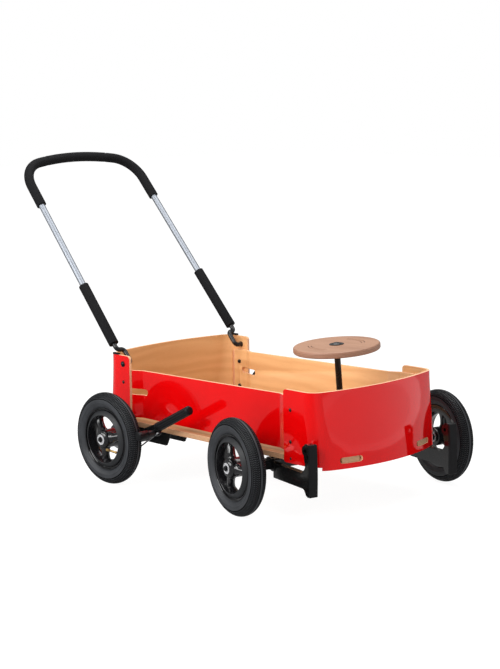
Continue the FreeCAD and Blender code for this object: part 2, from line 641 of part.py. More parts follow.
def axle_beam(x, beam_z):
    """Axle tube with a welded end plate, shoulder and journal at each end."""
    beam = square_beam(x, beam_z, BEAM_END)
    h = BEAM_W / 2
    for side in (RIGHT, LEFT):
        out = V(0, side, 0)
        end = V(x, side * BEAM_END, AXLE_Z)
        y0, y1 = sorted((side * (BEAM_END - END_PLATE_T), side * BEAM_END))
        beam = beam.fuse(box(x - h, x + h, y0, y1, beam_z - h, beam_z + h))
        shoulder = HALF_TRACK - HUB_OUT - FACE_GAP - BEAM_END
        beam = beam.fuse(cyl(SHOULDER_R, end, out, shoulder))
        journal = JOURNAL_ROOT + HALF_TRACK + HUB_OUT - BEAM_END
        beam = beam.fuse(cyl(AXLE_R, end - out * JOURNAL_ROOT, out, journal))
    for side in (RIGHT, LEFT):
        tip = V(x, side * (HALF_TRACK + HUB_OUT), AXLE_Z)
        beam = beam.cut(cyl(PANEL_BOLT_R, tip, V(0, -side, 0), AXLE_BOLT_L))
    return beam.removeSplitter()


def axle_end_bolts(x):
    """Flanged hexagon bolt in each end of an axle."""
    bolts = []
    for side in (RIGHT, LEFT):
        out = V(0, side, 0)
        tip = V(x, side * (HALF_TRACK + HUB_OUT), AXLE_Z)
        bolt = cyl(AXLE_WASHER_R, tip, out, AXLE_WASHER_T)
        bolt = bolt.fuse(cyl(PANEL_BOLT_R, tip, out * -1, AXLE_BOLT_L - 2))
        base = tip + out * AXLE_WASHER_T
        corners = [base + V(math.cos(a), 0, math.sin(a)) * AXLE_HEX_R
                   for a in [math.radians(60 * i) for i in range(6)]]
        head = Part.Face(Part.makePolygon(corners + corners[:1])).extrude(out * AXLE_HEX_T)
        bolts.append(bolt.fuse(head))
    return bolts


def rear_hanger(side):
    """Channel under the floor board that carries the rear axle tube on one side."""
    h = BEAM_W / 2
    top = FLOOR_FOOT_Z - HANGER_T
    rear, front = station(HANGER_REAR), station(HANGER_FRONTS[side])
    y_out, y_in = side * HANGER_OUT, side * HANGER_IN
    hanger = box(rear, front, min(y_out, y_in), max(y_out, y_in), top, FLOOR_FOOT_Z)
    outline = [(rear, FLOOR_FOOT_Z), (rear + HANGER_SLANT, HANGER_FOOT_Z),
               (front - HANGER_SLANT, HANGER_FOOT_Z), (front, FLOOR_FOOT_Z)]
    for y in (y_out, y_in + side * HANGER_T):
        y0, y1 = sorted((y, y - side * HANGER_T))
        hanger = hanger.fuse(plate_xz(outline, [0, HANGER_CORNER_R, HANGER_CORNER_R, 0], y0, y1))
    holes = [box(REAR_AXLE_X - h, REAR_AXLE_X + h, -FAR, FAR, AXLE_Z - h, AXLE_Z + h)]
    for at in hanger_bolt_places():
        holes.append(bore_z(BOLT_HOLE_R, at.x, at.y))
    if side == RIGHT:
        reach = HANGER_T + 2
        for (x, z), radius in ((BRAKE_PIVOT, BRAKE_PIN_R), (BRAKE_ARM_PIVOT, ARM_PIN_R)):
            holes.append(cyl(radius, V(station(x), y_out - 1, z), Y_AXIS, reach))
    return hanger.cut(holes)


def hanger_bolts():
    """Bolts down through the floor board into the rear hangers."""
    bolts = []
    for at in hanger_bolt_places():
        face = V(at.x, at.y, FLOOR_TOP_Z)
        bolts.append(through_bolt(face, Z_AXIS * -1, FLOOR_T + HANGER_T))
        bolts.append(cap_nut(V(at.x, at.y, FLOOR_FOOT_Z - HANGER_T), Z_AXIS * -1))
    return bolts


def tyre_edges(profile):
    """Closed wheel-section wire from (radius, across) points; triples make arcs."""
    edges = []
    for points in profile:
        p = [V(0, across, radius) for radius, across in points]
        edges.append(Part.Arc(*p).toShape() if len(p) == 3 else Part.makeLine(*p))
    return edges


def tyre():
    """Pneumatic tyre on the wheel's own centre: open at the beads, hollow inside."""
    r, w, t = WHEEL_R, TYRE_HALF_W, TYRE_WALL
    mid = r - w
    bead, lip = RIM_SEAT_R, RIM_FACE_R + BEAD_RISE
    seat = RIM_HALF_W - RIM_WALL
    c = math.sqrt(0.5)
    outer = [((bead, seat), (lip, seat)), ((lip, seat), (lip + WALL_RISE, w - WALL_LEAN), (mid, w)),
             ((mid, w), (mid + w * c, w * c), (r, 0)),
             ((r, 0), (mid + w * c, -w * c), (mid, -w)),
             ((mid, -w), (lip + WALL_RISE, WALL_LEAN - w), (lip, -seat)), ((lip, -seat), (bead, -seat))]
    i = w - t
    foot = (bead, seat - t - 1)
    inner = [((bead, -seat), (bead, -foot[1])),
             ((bead, -foot[1]), (bead + WALL_RISE, WALL_LEAN_IN - i), (mid, -i)),
             ((mid, -i), (mid + i * c, -i * c), (mid + i, 0)),
             ((mid + i, 0), (mid + i * c, i * c), (mid, i)),
             ((mid, i), (bead + WALL_RISE, i - WALL_LEAN_IN), (bead, foot[1])),
             ((bead, foot[1]), (bead, seat))]
    return revolved(tyre_edges(outer + inner), V(0, 0, 0), Y_AXIS)


def inner_tube():
    """Inflated tube inside the tyre with its bent metal valve through the rim."""
    radius = INNER_TUBE_R
    centre_r = WHEEL_R - TYRE_HALF_W - 1
    torus = Part.makeTorus(centre_r, radius, V(0, 0, 0), Y_AXIS)
    torus = torus.cut(Part.makeTorus(centre_r, radius - INNER_TUBE_WALL, V(0, 0, 0), Y_AXIS))
    top = centre_r - radius - HOLE_PLAY
    points = [V(0, 0, top), V(0, 0, VALVE_BEND_AT), V(0, VALVE_TIP_OUT, VALVE_TIP_AT)]
    back = (points[1] - points[2]).normalize()
    cap = cyl(VALVE_CAP_R, points[2], back, VALVE_CAP_L)
    return group([torus, rod(points, VALVE_R, VALVE_BEND_R).fuse(cap)])


def rim_spoke(turn):
    """One spoke, upright and then turned about the axle."""
    foot = V(0, SPOKE_HUB_OUT, HUB_R - SPOKE_ROOT)
    tip = V(0, SPOKE_RIM_OUT, SPOKE_END_AT)
    waist = foot + (tip - foot) * ((SPOKE_WAIST_AT - foot.z) / (tip.z - foot.z))
    inner = Part.makeCone(SPOKE_HUB_R, SPOKE_WAIST_R, (waist - foot).Length, foot, tip - foot)
    outer = Part.makeCone(SPOKE_WAIST_R, SPOKE_RIM_R, (tip - waist).Length, waist, tip - foot)
    spoke = inner.fuse(outer)
    spoke.rotate(V(0, 0, 0), Y_AXIS, turn)
    return spoke


def rim():
    """Moulded rim, outer side towards +Y, with a tyre channel, three round spokes and a hub."""
    hw, t = RIM_HALF_W, RIM_WALL
    well, well_w = RIM_SEAT_R - RIM_WELL_DEPTH, RIM_WELL_HALF_W
    throat, throat_w = RIM_THROAT_R, RIM_THROAT_HALF_W
    profile = [(RIM_FACE_R, hw), (RIM_FACE_R, hw - t), (RIM_SEAT_R, hw - t), (RIM_SEAT_R, well_w + 3),
               (well, well_w), (well, -well_w), (RIM_SEAT_R, -well_w - 3), (RIM_SEAT_R, t - hw),
               (RIM_FACE_R, t - hw), (RIM_FACE_R, -hw), (RIM_OPEN_R + RIM_BACK_EDGE, -hw),
               (RIM_OPEN_R, RIM_BACK_EDGE - hw), (throat, -throat_w), (throat, throat_w),
               (RIM_OPEN_R, RIM_LIP_OUT - RIM_BACK_EDGE), (RIM_OPEN_R, RIM_LIP_OUT),
               (RIM_OPEN_R + RIM_LIP_EDGE, RIM_LIP_OUT), (RIM_COVER_R, RIM_COVER_OUT),
               (RIM_COVER_R + RIM_LIP_EDGE, RIM_GROOVE_OUT), (RIM_GROOVE_R, RIM_GROOVE_OUT),
               (RIM_GROOVE_R, hw)]
    points = [V(0, across, radius) for radius, across in profile]
    channel = revolved([Part.makePolygon(points + points[:1])], V(0, 0, 0), Y_AXIS)
    body = channel.fuse(cyl(HUB_R, V(0, -HUB_OUT, 0), Y_AXIS, 2 * HUB_OUT))
    for i in range(SPOKES):
        body = body.fuse(rim_spoke((i + 0.5) * 360 / SPOKES))
    cuts = [cyl(HUB_BORE_R, V(0, -HUB_OUT, 0), Y_AXIS, 2 * HUB_OUT),
            cyl(BEARING_R, V(0, -HUB_OUT, 0), Y_AXIS, BEARING_W),
            cyl(BEARING_R, V(0, HUB_OUT - BEARING_W, 0), Y_AXIS, BEARING_W),
            cyl(VALVE_R + FACE_GAP, V(0, 0, HUB_R + SPOKE_ROOT), Z_AXIS, RIM_FACE_R - HUB_R)]
    return body.cut(cuts).removeSplitter()


def bearings():
    """Two ball bearings, each two races and a shield, with the spacer between them."""
    pieces = []
    bore = AXLE_R + RUN_FIT
    for y0 in (-HUB_OUT, HUB_OUT - BEARING_W):
        base = V(0, y0, 0)
        shield = V(0, y0 + 1, 0)
        pieces.append(ring(BEARING_R, BEARING_R - BEARING_RACE, base, Y_AXIS, BEARING_W))
        pieces.append(ring(bore + BEARING_RACE, bore, base, Y_AXIS, BEARING_W))
        pieces.append(ring(BEARING_R - BEARING_RACE, bore + BEARING_RACE, shield, Y_AXIS, BEARING_W - 2))
    pieces.append(ring(bore + 3, bore, V(0, BEARING_W - HUB_OUT, 0), Y_AXIS, 2 * (HUB_OUT - BEARING_W)))
    return group(pieces)


def wheel_places():
    """Name, centre and heading of each wheel."""
    places = []
    turn = math.radians(STEER_REST)
    for name, side in SIDES:
        places.append((f"rear_{name}", V(REAR_AXLE_X, side * HALF_TRACK, AXLE_Z), 0, side))
        arm = side * HALF_TRACK
        centre = V(FRONT_AXLE_X - arm * math.sin(turn), arm * math.cos(turn), AXLE_Z)
        places.append((f"front_{name}", centre, STEER_REST, side))
    return places


def placed_wheel_piece(piece, shape, name, centre, heading, side):
    """Turn a wheel piece, drawn with its valve up and outer side to +Y, to its place."""
    copy = shape.copy()
    if piece == "inner_tube" and name in VALVE_INWARD:
        copy = mirrored(copy)
    copy.rotate(V(0, 0, 0), Y_AXIS, 90 - VALVE_AT[name])
    if side == RIGHT:
        copy = mirrored(copy)
    copy.rotate(V(0, 0, 0), Z_AXIS, heading)
    copy.translate(centre)
    return copy


# ---------------------------------------------------------------- steering
def upper_turntable():
    """Steel plate under the floor board, with the pin that limits the steering."""
    x = FRONT_AXLE_X
    plate = cyl(TURNTABLE_R, V(x, 0, UPPER_PLATE_FOOT), Z_AXIS, UPPER_PLATE_T)
    pin = cyl(STOP_PIN_R, V(x - STOP_RING_R, 0, LOWER_PLATE_TOP - LOWER_PLATE_T), Z_AXIS,
              FLOOR_FOOT_Z - LOWER_PLATE_TOP + LOWER_PLATE_T)
    cuts = [bore_z(BUSH_R, x, 0)]
    for at in head_bolt_places():
        cuts.append(bore_z(BOLT_HOLE_R, at.x, at.y))
    return plate.fuse(pin).cut(cuts)


def head_bolts():
    """Bolts through steering head, floor board and upper turntable plate."""
    bolts = []
    for at in head_bolt_places():
        top = V(at.x, at.y, HEAD_TOP_Z)
        grip = HEAD_BASE_T + FLOOR_T
        bolts.append(through_bolt(top, Z_AXIS * -1, grip + UPPER_PLATE_T - NUT_H + 1))
    return bolts


def kingpin_bush():
    x = FRONT_AXLE_X
    bush = cyl(BUSH_R, V(x, 0, UPPER_PLATE_FOOT), Z_AXIS, HEAD_TOP_Z - UPPER_PLATE_FOOT)
    bush = bush.fuse(cyl(BUSH_R + BUSH_COLLAR, V(x, 0, HEAD_TOP_Z), Z_AXIS, BUSH_FLANGE))
    return bush.cut(bore_z(KINGPIN_R + RUN_FIT, x, 0))


def steering_head():
    """Stand on the floor board that carries the steering column in two bushes."""
    x = FRONT_AXLE_X
    half = HEAD_BASE_W / 2
    base = plate_xy([(x - half, -half), (x + half, -half), (x + half, half), (x - half, half)],
                    [HEAD_BASE_CORNER_R] * 4, FLOOR_TOP_Z, HEAD_TOP_Z)
    low, high = COUPLER + COLUMN_DIR * HEAD_FROM, COUPLER + COLUMN_DIR * HEAD_TO
    head = base
    foot, top, drop = HEAD_CHEEK_FOOT, HEAD_CHEEK_TOP, HEAD_CHEEK_DROP
    for side in (RIGHT, LEFT):
        near = HEAD_R - HEAD_CHEEK_SUNK
        y0, y1 = sorted((side * near, side * (near + HEAD_CHEEK_T)))
        cheek_foot = FLOOR_TOP_Z + HEAD_BASE_T / 2
        outline = [(x - foot, cheek_foot), (x + foot, cheek_foot), (high.x + top, high.z - drop),
                   (high.x - top, high.z - drop)]
        cheek = plate_xz(outline, [0, 0, HEAD_CHEEK_R, HEAD_CHEEK_R], y0, y1)
        cheek.rotate(COUPLER, X_AXIS, COLUMN_LEAN)
        head = head.fuse(cheek)
    head = head.fuse(cyl(HEAD_R, low, COLUMN_DIR, HEAD_TO - HEAD_FROM))
    above = V(x, 0, HEAD_TOP_Z)
    cuts = [cyl(COLUMN_R + BUSH_WALL, low, COLUMN_DIR, HEAD_TO - HEAD_FROM),
            cyl(BUSH_R, V(x, 0, 0), Z_AXIS, HEAD_TOP_Z + COLUMN_TO_BUSH),
            cyl(COUPLER_R + COUPLER_ROOM, above, Z_AXIS, COUPLER_Z + COUPLER_TOP - HEAD_TOP_Z + 1)]
    for at in head_bolt_places():
        cuts.append(bore_z(BOLT_HOLE_R, at.x, at.y))
    return head.cut(cuts)


def column_bushes():
    bushes = []
    for start in (HEAD_FROM, HEAD_TO - COLUMN_BUSH_L):
        base = COUPLER + COLUMN_DIR * start
        bushes.append(ring(COLUMN_R + BUSH_WALL, COLUMN_R + RUN_FIT, base, COLUMN_DIR, COLUMN_BUSH_L))
    return group(bushes)


def kingpin():
    """Pin up through the turntable with a slotted head that turns with the column."""
    x = FRONT_AXLE_X
    foot = FRONT_BEAM_Z - BEAM_W / 2
    head_z = HEAD_TOP_Z + COLUMN_TO_BUSH
    low = V(x, 0, foot - KINGPIN_HEAD_T)
    pin = cyl(KINGPIN_R, low, Z_AXIS, head_z + KINGPIN_SUNK - low.z)
    pin = pin.fuse(cyl(KINGPIN_HEAD_R, low, Z_AXIS, KINGPIN_HEAD_T))
    head = cyl(COUPLER_R, V(x, 0, head_z), Z_AXIS, COUPLER_Z + COUPLER_TOP - head_z)
    slot = box(x - FAR, x + FAR, -COUPLER_SLOT / 2, COUPLER_SLOT / 2, head_z + COUPLER_FLOOR_T, FAR)
    return turned(pin.fuse(head.cut(slot)))


def lower_turntable():
    """Plate on the front beam with the curved slot for the stop pin."""
    x = FRONT_AXLE_X
    z = LOWER_PLATE_TOP - LOWER_PLATE_T
    plate = cyl(TURNTABLE_R, V(x, 0, z), Z_AXIS, LOWER_PLATE_T)
    wide = STOP_PIN_R + STOP_SLOT_PLAY
    arc = STEER_LIMIT + math.degrees(STOP_ANGLE_PLAY / STOP_RING_R)
    slot = ring(STOP_RING_R + wide, STOP_RING_R - wide, V(x, 0, z), Z_AXIS, LOWER_PLATE_T)
    wedge = [V(x, 0, z)]
    for i in range(-2, 3):
        a = math.radians(180 + arc * i / 2)
        wedge.append(V(x + FAR * math.cos(a), FAR * math.sin(a), z))
    sector = Part.Face(Part.makePolygon(wedge + wedge[:1])).extrude(V(0, 0, LOWER_PLATE_T))
    slot = slot.common(sector)
    for sign in (-1, 1):
        a = math.radians(180 + sign * arc)
        at = V(x + STOP_RING_R * math.cos(a), STOP_RING_R * math.sin(a), z)
        slot = slot.fuse(cyl(wide, at, Z_AXIS, LOWER_PLATE_T))
    plate = plate.cut([slot, bore_z(KINGPIN_R, x, 0)])
    return turned(plate)


def wear_ring():
    base = V(FRONT_AXLE_X, 0, LOWER_PLATE_TOP)
    return ring(WEAR_RING_R, KINGPIN_R + WEAR_RING_HOLE, base, Z_AXIS, WEAR_RING_T)


def front_beam():
    """Front axle tube, cut for the kingpin and turned to the rest heading."""
    beam = axle_beam(FRONT_AXLE_X, FRONT_BEAM_Z)
    holes = [bore_z(KINGPIN_R, FRONT_AXLE_X, 0)]
    for side in (RIGHT, LEFT):
        holes.append(bore_z(BOLT_HOLE_R, FRONT_AXLE_X, side * BRACKET_Y))
    return turned(beam.cut(holes))


def steering_column():
    """Round column with a flat tang below, a collar over the head and the wheel's hub plate."""
    c = COUPLER
    tang = box(c.x - COLUMN_R, c.x + COLUMN_R, -COLUMN_TANG / 2, COLUMN_TANG / 2,
               c.z - TANG_FROM, c.z + TANG_TO)
    tang = tang.common(bore_z(COLUMN_R, c.x, 0))
    plate_z = STEERING_WHEEL_AT - STEERING_WHEEL_T / 2
    tube_top = plate_z + STEERING_WHEEL_T - COLUMN_END_GAP
    tube = cyl(COLUMN_R, c + Z_AXIS * COLUMN_FOOT, Z_AXIS, tube_top - COLUMN_FOOT)
    wide = HEAD_R - COLLAR_STEP
    collar = cyl(wide, c + Z_AXIS * (HEAD_TO + FACE_GAP), Z_AXIS, COLLAR_T)
    lower_at = HEAD_FROM - FACE_GAP - LOWER_COLLAR_T
    lower = cyl(wide, c + Z_AXIS * lower_at, Z_AXIS, LOWER_COLLAR_T)
    plate = cyl(HUB_PLATE_R, c + Z_AXIS * (plate_z - HUB_PLATE_T), Z_AXIS, HUB_PLATE_T)
    return on_column(tang.fuse([tube, collar, lower, plate]))


def steering_wheel():
    """Round plywood board with a rounded rim and plain curved grooves in its face."""
    z = COUPLER_Z + STEERING_WHEEL_AT - STEERING_WHEEL_T / 2
    base = V(FRONT_AXLE_X, 0, z)
    board = cyl(STEERING_WHEEL_R, base, Z_AXIS, STEERING_WHEEL_T)
    board = board.makeFillet(STEERING_EDGE_R, [e for e in board.Edges if e.Length > STEERING_WHEEL_R
                                               and len(e.Vertexes) == 1])
    cuts = [cyl(COLUMN_R, base, Z_AXIS, STEERING_WHEEL_T)]
    top = z + STEERING_WHEEL_T
    ahead, aside = GROOVE_WINDOW
    for radius in GROOVE_RS:
        groove = ring(radius + GROOVE_HALF_W, radius - GROOVE_HALF_W, V(base.x, 0, top - GROOVE_DEPTH),
                      Z_AXIS, 2 * GROOVE_DEPTH)
        for side in (RIGHT, LEFT):
            window = [(base.x, 0), (base.x + ahead, side * aside), (base.x - ahead, side * aside)]
            cuts.append(groove.common(plate_xy(window, [0, 0, 0], z, top + GROOVE_DEPTH)))
    return on_column(board.cut(cuts))


def steering_cap():
    z = COUPLER_Z + STEERING_WHEEL_AT + STEERING_WHEEL_T / 2
    base = V(FRONT_AXLE_X, 0, z)
    cap = dome(CAP_R, CAP_RISE, base, Z_AXIS).fuse(cyl(CAP_SKIRT_R, base, Z_AXIS, CAP_SKIRT_T))
    return on_column(cap)


def bracket_slab(outline, radii, inset):
    """Plate of the right-hand bracket, drawn back from the wagon's front for straight steering."""
    y0, y1 = -BRACKET_Y - BRACKET_W / 2 + inset, -BRACKET_Y + BRACKET_W / 2 - inset
    return plate_xz(outline, radii, y0, y1)


def foot_bracket():
    """Right-hand casting ahead of the front axle: saddle, arm, upright and bored boss."""
    x, h = FRONT_AXLE_X, BEAM_W / 2
    back = x + BRACKET_FRONT - PAD_T
    heel, edge, crown = x + h + BRACKET_EDGE, BRACKET_EDGE, BRACKET_CROWN_R
    top, foot = back - BRACKET_TOP_BACK, back - BRACKET_FOOT_STEP
    outline = [(heel, ARM_TOP_Z), (heel, ARM_FOOT_Z), (back - BRACKET_HEEL_L, ARM_FOOT_Z),
               (foot - BRACKET_FOOT_L, BRACKET_FOOT_Z), (foot, BRACKET_FOOT_Z),
               (back, BRACKET_WAIST_Z), (top, BRACKET_TOP_Z), (top - BRACKET_TOP_L, BRACKET_TOP_Z),
               (top - BRACKET_TOP_L, BRACKET_TOP_Z - BRACKET_NECK_DROP),
               (back - BRACKET_NECK_L, BRACKET_WAIST_Z + BRACKET_NECK_RISE),
               (back - BRACKET_GUSSET_L, ARM_TOP_Z)]
    casting = bracket_slab(outline, [4, 4, 12, 6, 3, crown, 12, 14, 14, 16, 14], edge)
    thick = BRACKET_FLANGE_T
    flange = [(foot - thick, BRACKET_FOOT_Z), (foot, BRACKET_FOOT_Z), (back, BRACKET_WAIST_Z),
              (top, BRACKET_TOP_Z), (top - thick, BRACKET_TOP_Z), (back - thick, BRACKET_WAIST_Z)]
    casting = casting.fuse(bracket_slab(flange, [4, 1, crown, 1, 5, crown], 0))
    boss = V(back - BRACKET_BOSS_R - edge, -BRACKET_Y - BRACKET_W / 2,
             BRACKET_TOP_Z - BRACKET_BOSS_R - edge)
    casting = casting.fuse(cyl(BRACKET_BOSS_R, boss, Y_AXIS, BRACKET_W))
    saddle_top, saddle_foot = FRONT_BEAM_Z + h + SADDLE_T, FRONT_BEAM_Z - h - SADDLE_T
    saddle = [(x - h, saddle_top), (x - h, saddle_foot), (x + h + SADDLE_AHEAD, saddle_foot),
              (x + h + SADDLE_AHEAD, saddle_top)]
    casting = casting.fuse(bracket_slab(saddle, [1, 6, 4, 4], 0))
    pocket = box(x - 2 * h, x + h, boss.y, boss.y + BRACKET_W, FRONT_BEAM_Z - h, FRONT_BEAM_Z + h)
    holes = [pocket, bore_y(BRACKET_HOLE_R, boss.x, boss.z), bore_z(BOLT_HOLE_R, x, -BRACKET_Y)]
    return casting.cut(holes)


def foot_pad():
    """Rubber facing on the front of a bracket, gently crowned."""
    front = FRONT_AXLE_X + BRACKET_FRONT
    back = front - PAD_T
    crown, edge = BRACKET_CROWN_R, PAD_EDGE_R
    outline = [(back - BRACKET_TOP_BACK, BRACKET_TOP_Z), (back, BRACKET_WAIST_Z),
               (back - BRACKET_FOOT_STEP, BRACKET_FOOT_Z), (front - edge, BRACKET_FOOT_Z),
               (front, BRACKET_WAIST_Z), (front - PAD_STEP, BRACKET_TOP_Z)]
    return bracket_slab(outline, [1, crown, 1, edge, crown, edge], 0)


def bracket_bolts():
    """Bolt down through each bracket's saddle and the front axle tube."""
    x, h = FRONT_AXLE_X, BEAM_W / 2
    bolts = []
    for side in (RIGHT, LEFT):
        top = V(x, side * BRACKET_Y, FRONT_BEAM_Z + h + SADDLE_T)
        bolts.append(turned(through_bolt(top, Z_AXIS * -1, 2 * h + 2 * SADDLE_T)))
        foot = V(x, side * BRACKET_Y, FRONT_BEAM_Z - h - SADDLE_T)
        bolts.append(turned(cap_nut(foot, Z_AXIS * -1)))
    return group(bolts)


# ---------------------------------------------------------------- folding handle
def leg_point(along, y):
    return V(PIVOT_X, 0, PIVOT_Z) + LEG_DIR * along + V(0, y, 0)


def handle_path():
    """Half-plane geometry of the bent tube: legs, corner bends and crowned bar."""
    slope = (LEG_Y_FOOT - LEG_Y_TOP) / (LEG_TOP - HANDLE_FOOT)
    lean = math.atan(slope)
    crown_c = BAR_TOP - BAR_CROWN_R

    # corner circle tangent to the leg line and, from inside, to the crown circle
    def gap(along):
        y_line = LEG_Y_TOP - slope * (along - LEG_TOP)
        y_c = y_line - BAR_CORNER_R / math.cos(lean)
        return math.hypot(along - crown_c, y_c) - (BAR_CROWN_R - BAR_CORNER_R), y_c
    low, high = LEG_TOP - 200, BAR_TOP
    for _ in range(60):
        middle = (low + high) / 2
        if gap(middle)[0] > 0:
            high = middle
        else:
            low = middle
    centre_a, centre_y = low, gap(low)[1]
    leave_a = centre_a + BAR_CORNER_R * math.sin(lean)
    leave_y = centre_y + BAR_CORNER_R * math.cos(lean)
    to_crown = V(centre_a - crown_c, centre_y, 0).normalize()
    join_a = crown_c + BAR_CROWN_R * to_crown.x
    join_y = BAR_CROWN_R * to_crown.y
    return slope, (centre_a, centre_y), (leave_a, leave_y), (join_a, join_y), crown_c


def leg_y(along):
    return LEG_Y_TOP - handle_path()[0] * (along - LEG_TOP)


def corner_edges(side, low_along):
    """Leg from low_along up and round its corner to the bar, as path edges."""
    slope, centre, leave, join, crown_c = handle_path()
    lean = math.atan(slope)
    ang0 = math.pi / 2 - lean
    ang1 = math.atan2(join[1] - centre[1], join[0] - centre[0])
    mid = (ang0 + ang1) / 2
    middle = (centre[0] + BAR_CORNER_R * math.cos(mid), centre[1] + BAR_CORNER_R * math.sin(mid))
    start = leg_point(low_along, side * leg_y(low_along))
    a, m, b = (leg_point(p[0], side * p[1]) for p in (leave, middle, join))
    return [Part.makeLine(start, a), Part.Arc(a, m, b).toShape()]


def crown_point(y):
    crown_c = handle_path()[4]
    return leg_point(crown_c + math.sqrt(BAR_CROWN_R ** 2 - y * y), y)


def crown_arc(y0, y1):
    return Part.Arc(crown_point(y0), crown_point((y0 + y1) / 2), crown_point(y1)).toShape()


def u_edges(low_along):
    """Whole tube path from the right leg's foot to the left leg's foot."""
    join_y = handle_path()[3][1]
    right = corner_edges(RIGHT, low_along)
    left = corner_edges(LEFT, low_along)
    return right + [crown_arc(-join_y, join_y)] + left[::-1]


def path_from(edges):
    """Wire whose edges run head to tail."""
    return Part.Wire(Part.__sortEdges__(edges))


def tube_solid(edges, radius):
    path = path_from(edges)
    first = path.OrderedEdges[0]
    start = path.OrderedVertexes[0].Point
    near = first.valueAt(first.FirstParameter)
    param = first.FirstParameter if (near - start).Length < 1e-6 else first.LastParameter
    profile = Part.Wire([Part.makeCircle(radius, start, first.tangentAt(param))])
    return path.makePipeShell([profile], True, True)


def handle_tube():
    edges = u_edges(SLEEVE_FROM + 1)
    return tube_solid(edges, TUBE_R).cut(tube_solid(edges, TUBE_R - TUBE_WALL))


def foam_over(edges):
    return tube_solid(edges, FOAM_R).cut(tube_solid(edges, TUBE_R))


def grip_centre():
    return foam_over([crown_arc(-GRIP_SEAM_Y + SEAM_GAP, GRIP_SEAM_Y - SEAM_GAP)])


def grip_corners():
    """Foam from each leg round its corner to the seams in the bar."""
    join_y = handle_path()[3][1]
    grips = []
    for side in (RIGHT, LEFT):
        grips.append(foam_over(corner_edges(side, GRIP_END) + [crown_arc(side * join_y, side * GRIP_SEAM_Y)]))
    return group(grips)


def leg_sleeves():
    sleeves = []
    for side in (RIGHT, LEFT):
        ends = [leg_point(along, side * leg_y(along)) for along in (SLEEVE_FROM, SLEEVE_TO)]
        sleeves.append(foam_over([Part.makeLine(*ends)]))
    return group(sleeves)


def crank():
    """Right-hand bent rod from inside the leg, over the wing and down to the pivot."""
    plug_from, plug_to = SLEEVE_FROM + 2, SLEEVE_TO - 60
    plug = leg_point(plug_to, RIGHT * leg_y(plug_to))
    foot = leg_point(plug_from, RIGHT * leg_y(plug_from))
    elbow = leg_point(HANDLE_FOOT, RIGHT * leg_y(HANDLE_FOOT))
    inner = leg_point(HANDLE_FOOT, RIGHT * CRANK_Y)
    pivot = leg_point(0, RIGHT * CRANK_Y)
    face = leg_point(0, RIGHT * (WING_IN - BUSH_FLANGE - FACE_GAP))
    bar = rod([plug, elbow, inner, pivot, face], ROD_R, ROD_BEND_R)
    along = plug - foot
    bar = bar.fuse(cyl(TUBE_R - TUBE_WALL, foot, along, along.Length))
    return bar.cut(cyl(PIVOT_BOLT_R, face, Y_AXIS, 16))


def pivot_bolts():
    bolts = []
    for side in (RIGHT, LEFT):
        out = V(0, side, 0)
        face = V(PIVOT_X, side * (TUB_HALF_W + BUSH_FLANGE + FACE_GAP), PIVOT_Z)
        reach = PLY + 2 * (BUSH_FLANGE + FACE_GAP) + 14
        bolt = cyl(PIVOT_BOLT_R, face, out * -1, reach).fuse(dome(PIVOT_HEAD_R, PIVOT_HEAD_H, face, out))
        bolts.append(bolt)
    return group(bolts)


def pivot_bushes():
    """Flanged two-part bush in each rear wing."""
    bushes = []
    for side in (RIGHT, LEFT):
        inner = V(PIVOT_X, side * (WING_IN - BUSH_FLANGE), PIVOT_Z)
        out = V(0, side, 0)
        length = PLY + 2 * BUSH_FLANGE
        r = PIVOT_BOLT_R + RUN_FIT
        bush = cyl(r + BUSH_WALL, inner, out, length)
        for start in (0, length - BUSH_FLANGE):
            bush = bush.fuse(cyl(r + BUSH_WALL + 2.5, inner + out * start, out, BUSH_FLANGE))
        bushes.append(bush.cut(cyl(r, inner, out, length)))
    return group(bushes)


def stop_pads():
    """Rubber rests on the rear wings' top edges under the cranks."""
    elbow = leg_point(HANDLE_FOOT, 0)
    pads = []
    for side in (RIGHT, LEFT):
        y0, y1 = sorted((side * WING_IN, side * TUB_HALF_W))
        pads.append(box(elbow.x - STOP_PAD_L / 2, elbow.x + STOP_PAD_L / 2, y0, y1, REAR_TOP_Z,
                        elbow.z - ROD_R - FACE_GAP))
    return group(pads)


# ---------------------------------------------------------------- brake
def brake_at(place, y):
    return V(station(place[0]), y, place[1])


def carried_pin(place, radius, tip, washer_r):
    """Pin welded into the right hanger's cheek, with a spacer and a round end cap."""
    start = -HANGER_OUT + HANGER_T
    pin = cyl(radius, brake_at(place, start), Y_AXIS * -1, start - tip[1])
    spacer = cyl(washer_r, brake_at(place, -HANGER_OUT), Y_AXIS * -1, -HANGER_OUT - tip[0] - FACE_GAP)
    return pin.fuse([spacer, dome(washer_r, PIN_CAP_H, brake_at(place, tip[1]), Y_AXIS * -1)])


def brake_pins():
    lever = BRAKE_Y + LEVER_W / 2, BRAKE_Y - LEVER_W / 2 - FACE_GAP
    arm = ARM_Y, ARM_Y - ARM_T - FACE_GAP
    return group([carried_pin(BRAKE_PIVOT, BRAKE_PIN_R, lever, LEVER_CAP_R),
                  carried_pin(BRAKE_ARM_PIVOT, ARM_PIN_R, arm, ARM_CAP_R)])


def bar_between(a, b, width, y0, y1):
    """Flat round-ended link in the side view."""
    start, end = V(station(a[0]), y0, a[1]), V(station(b[0]), y0, b[1])
    along = (end - start).normalize()
    up = V(-along.z, 0, along.x) * (width / 2)
    corners = [start + up, start - up, end - up, end + up]
    link = Part.Face(Part.makePolygon(corners + corners[:1])).extrude(V(0, y1 - y0, 0))
    for at in (start, end):
        link = link.fuse(cyl(width / 2, at, Y_AXIS, y1 - y0))
    return link.removeSplitter()


def grip_line():
    start, end = brake_at(BRAKE_BEND, BRAKE_Y), brake_at(BRAKE_GRIP_TIP, BRAKE_Y)
    return start, (end - start).normalize(), (end - start).Length


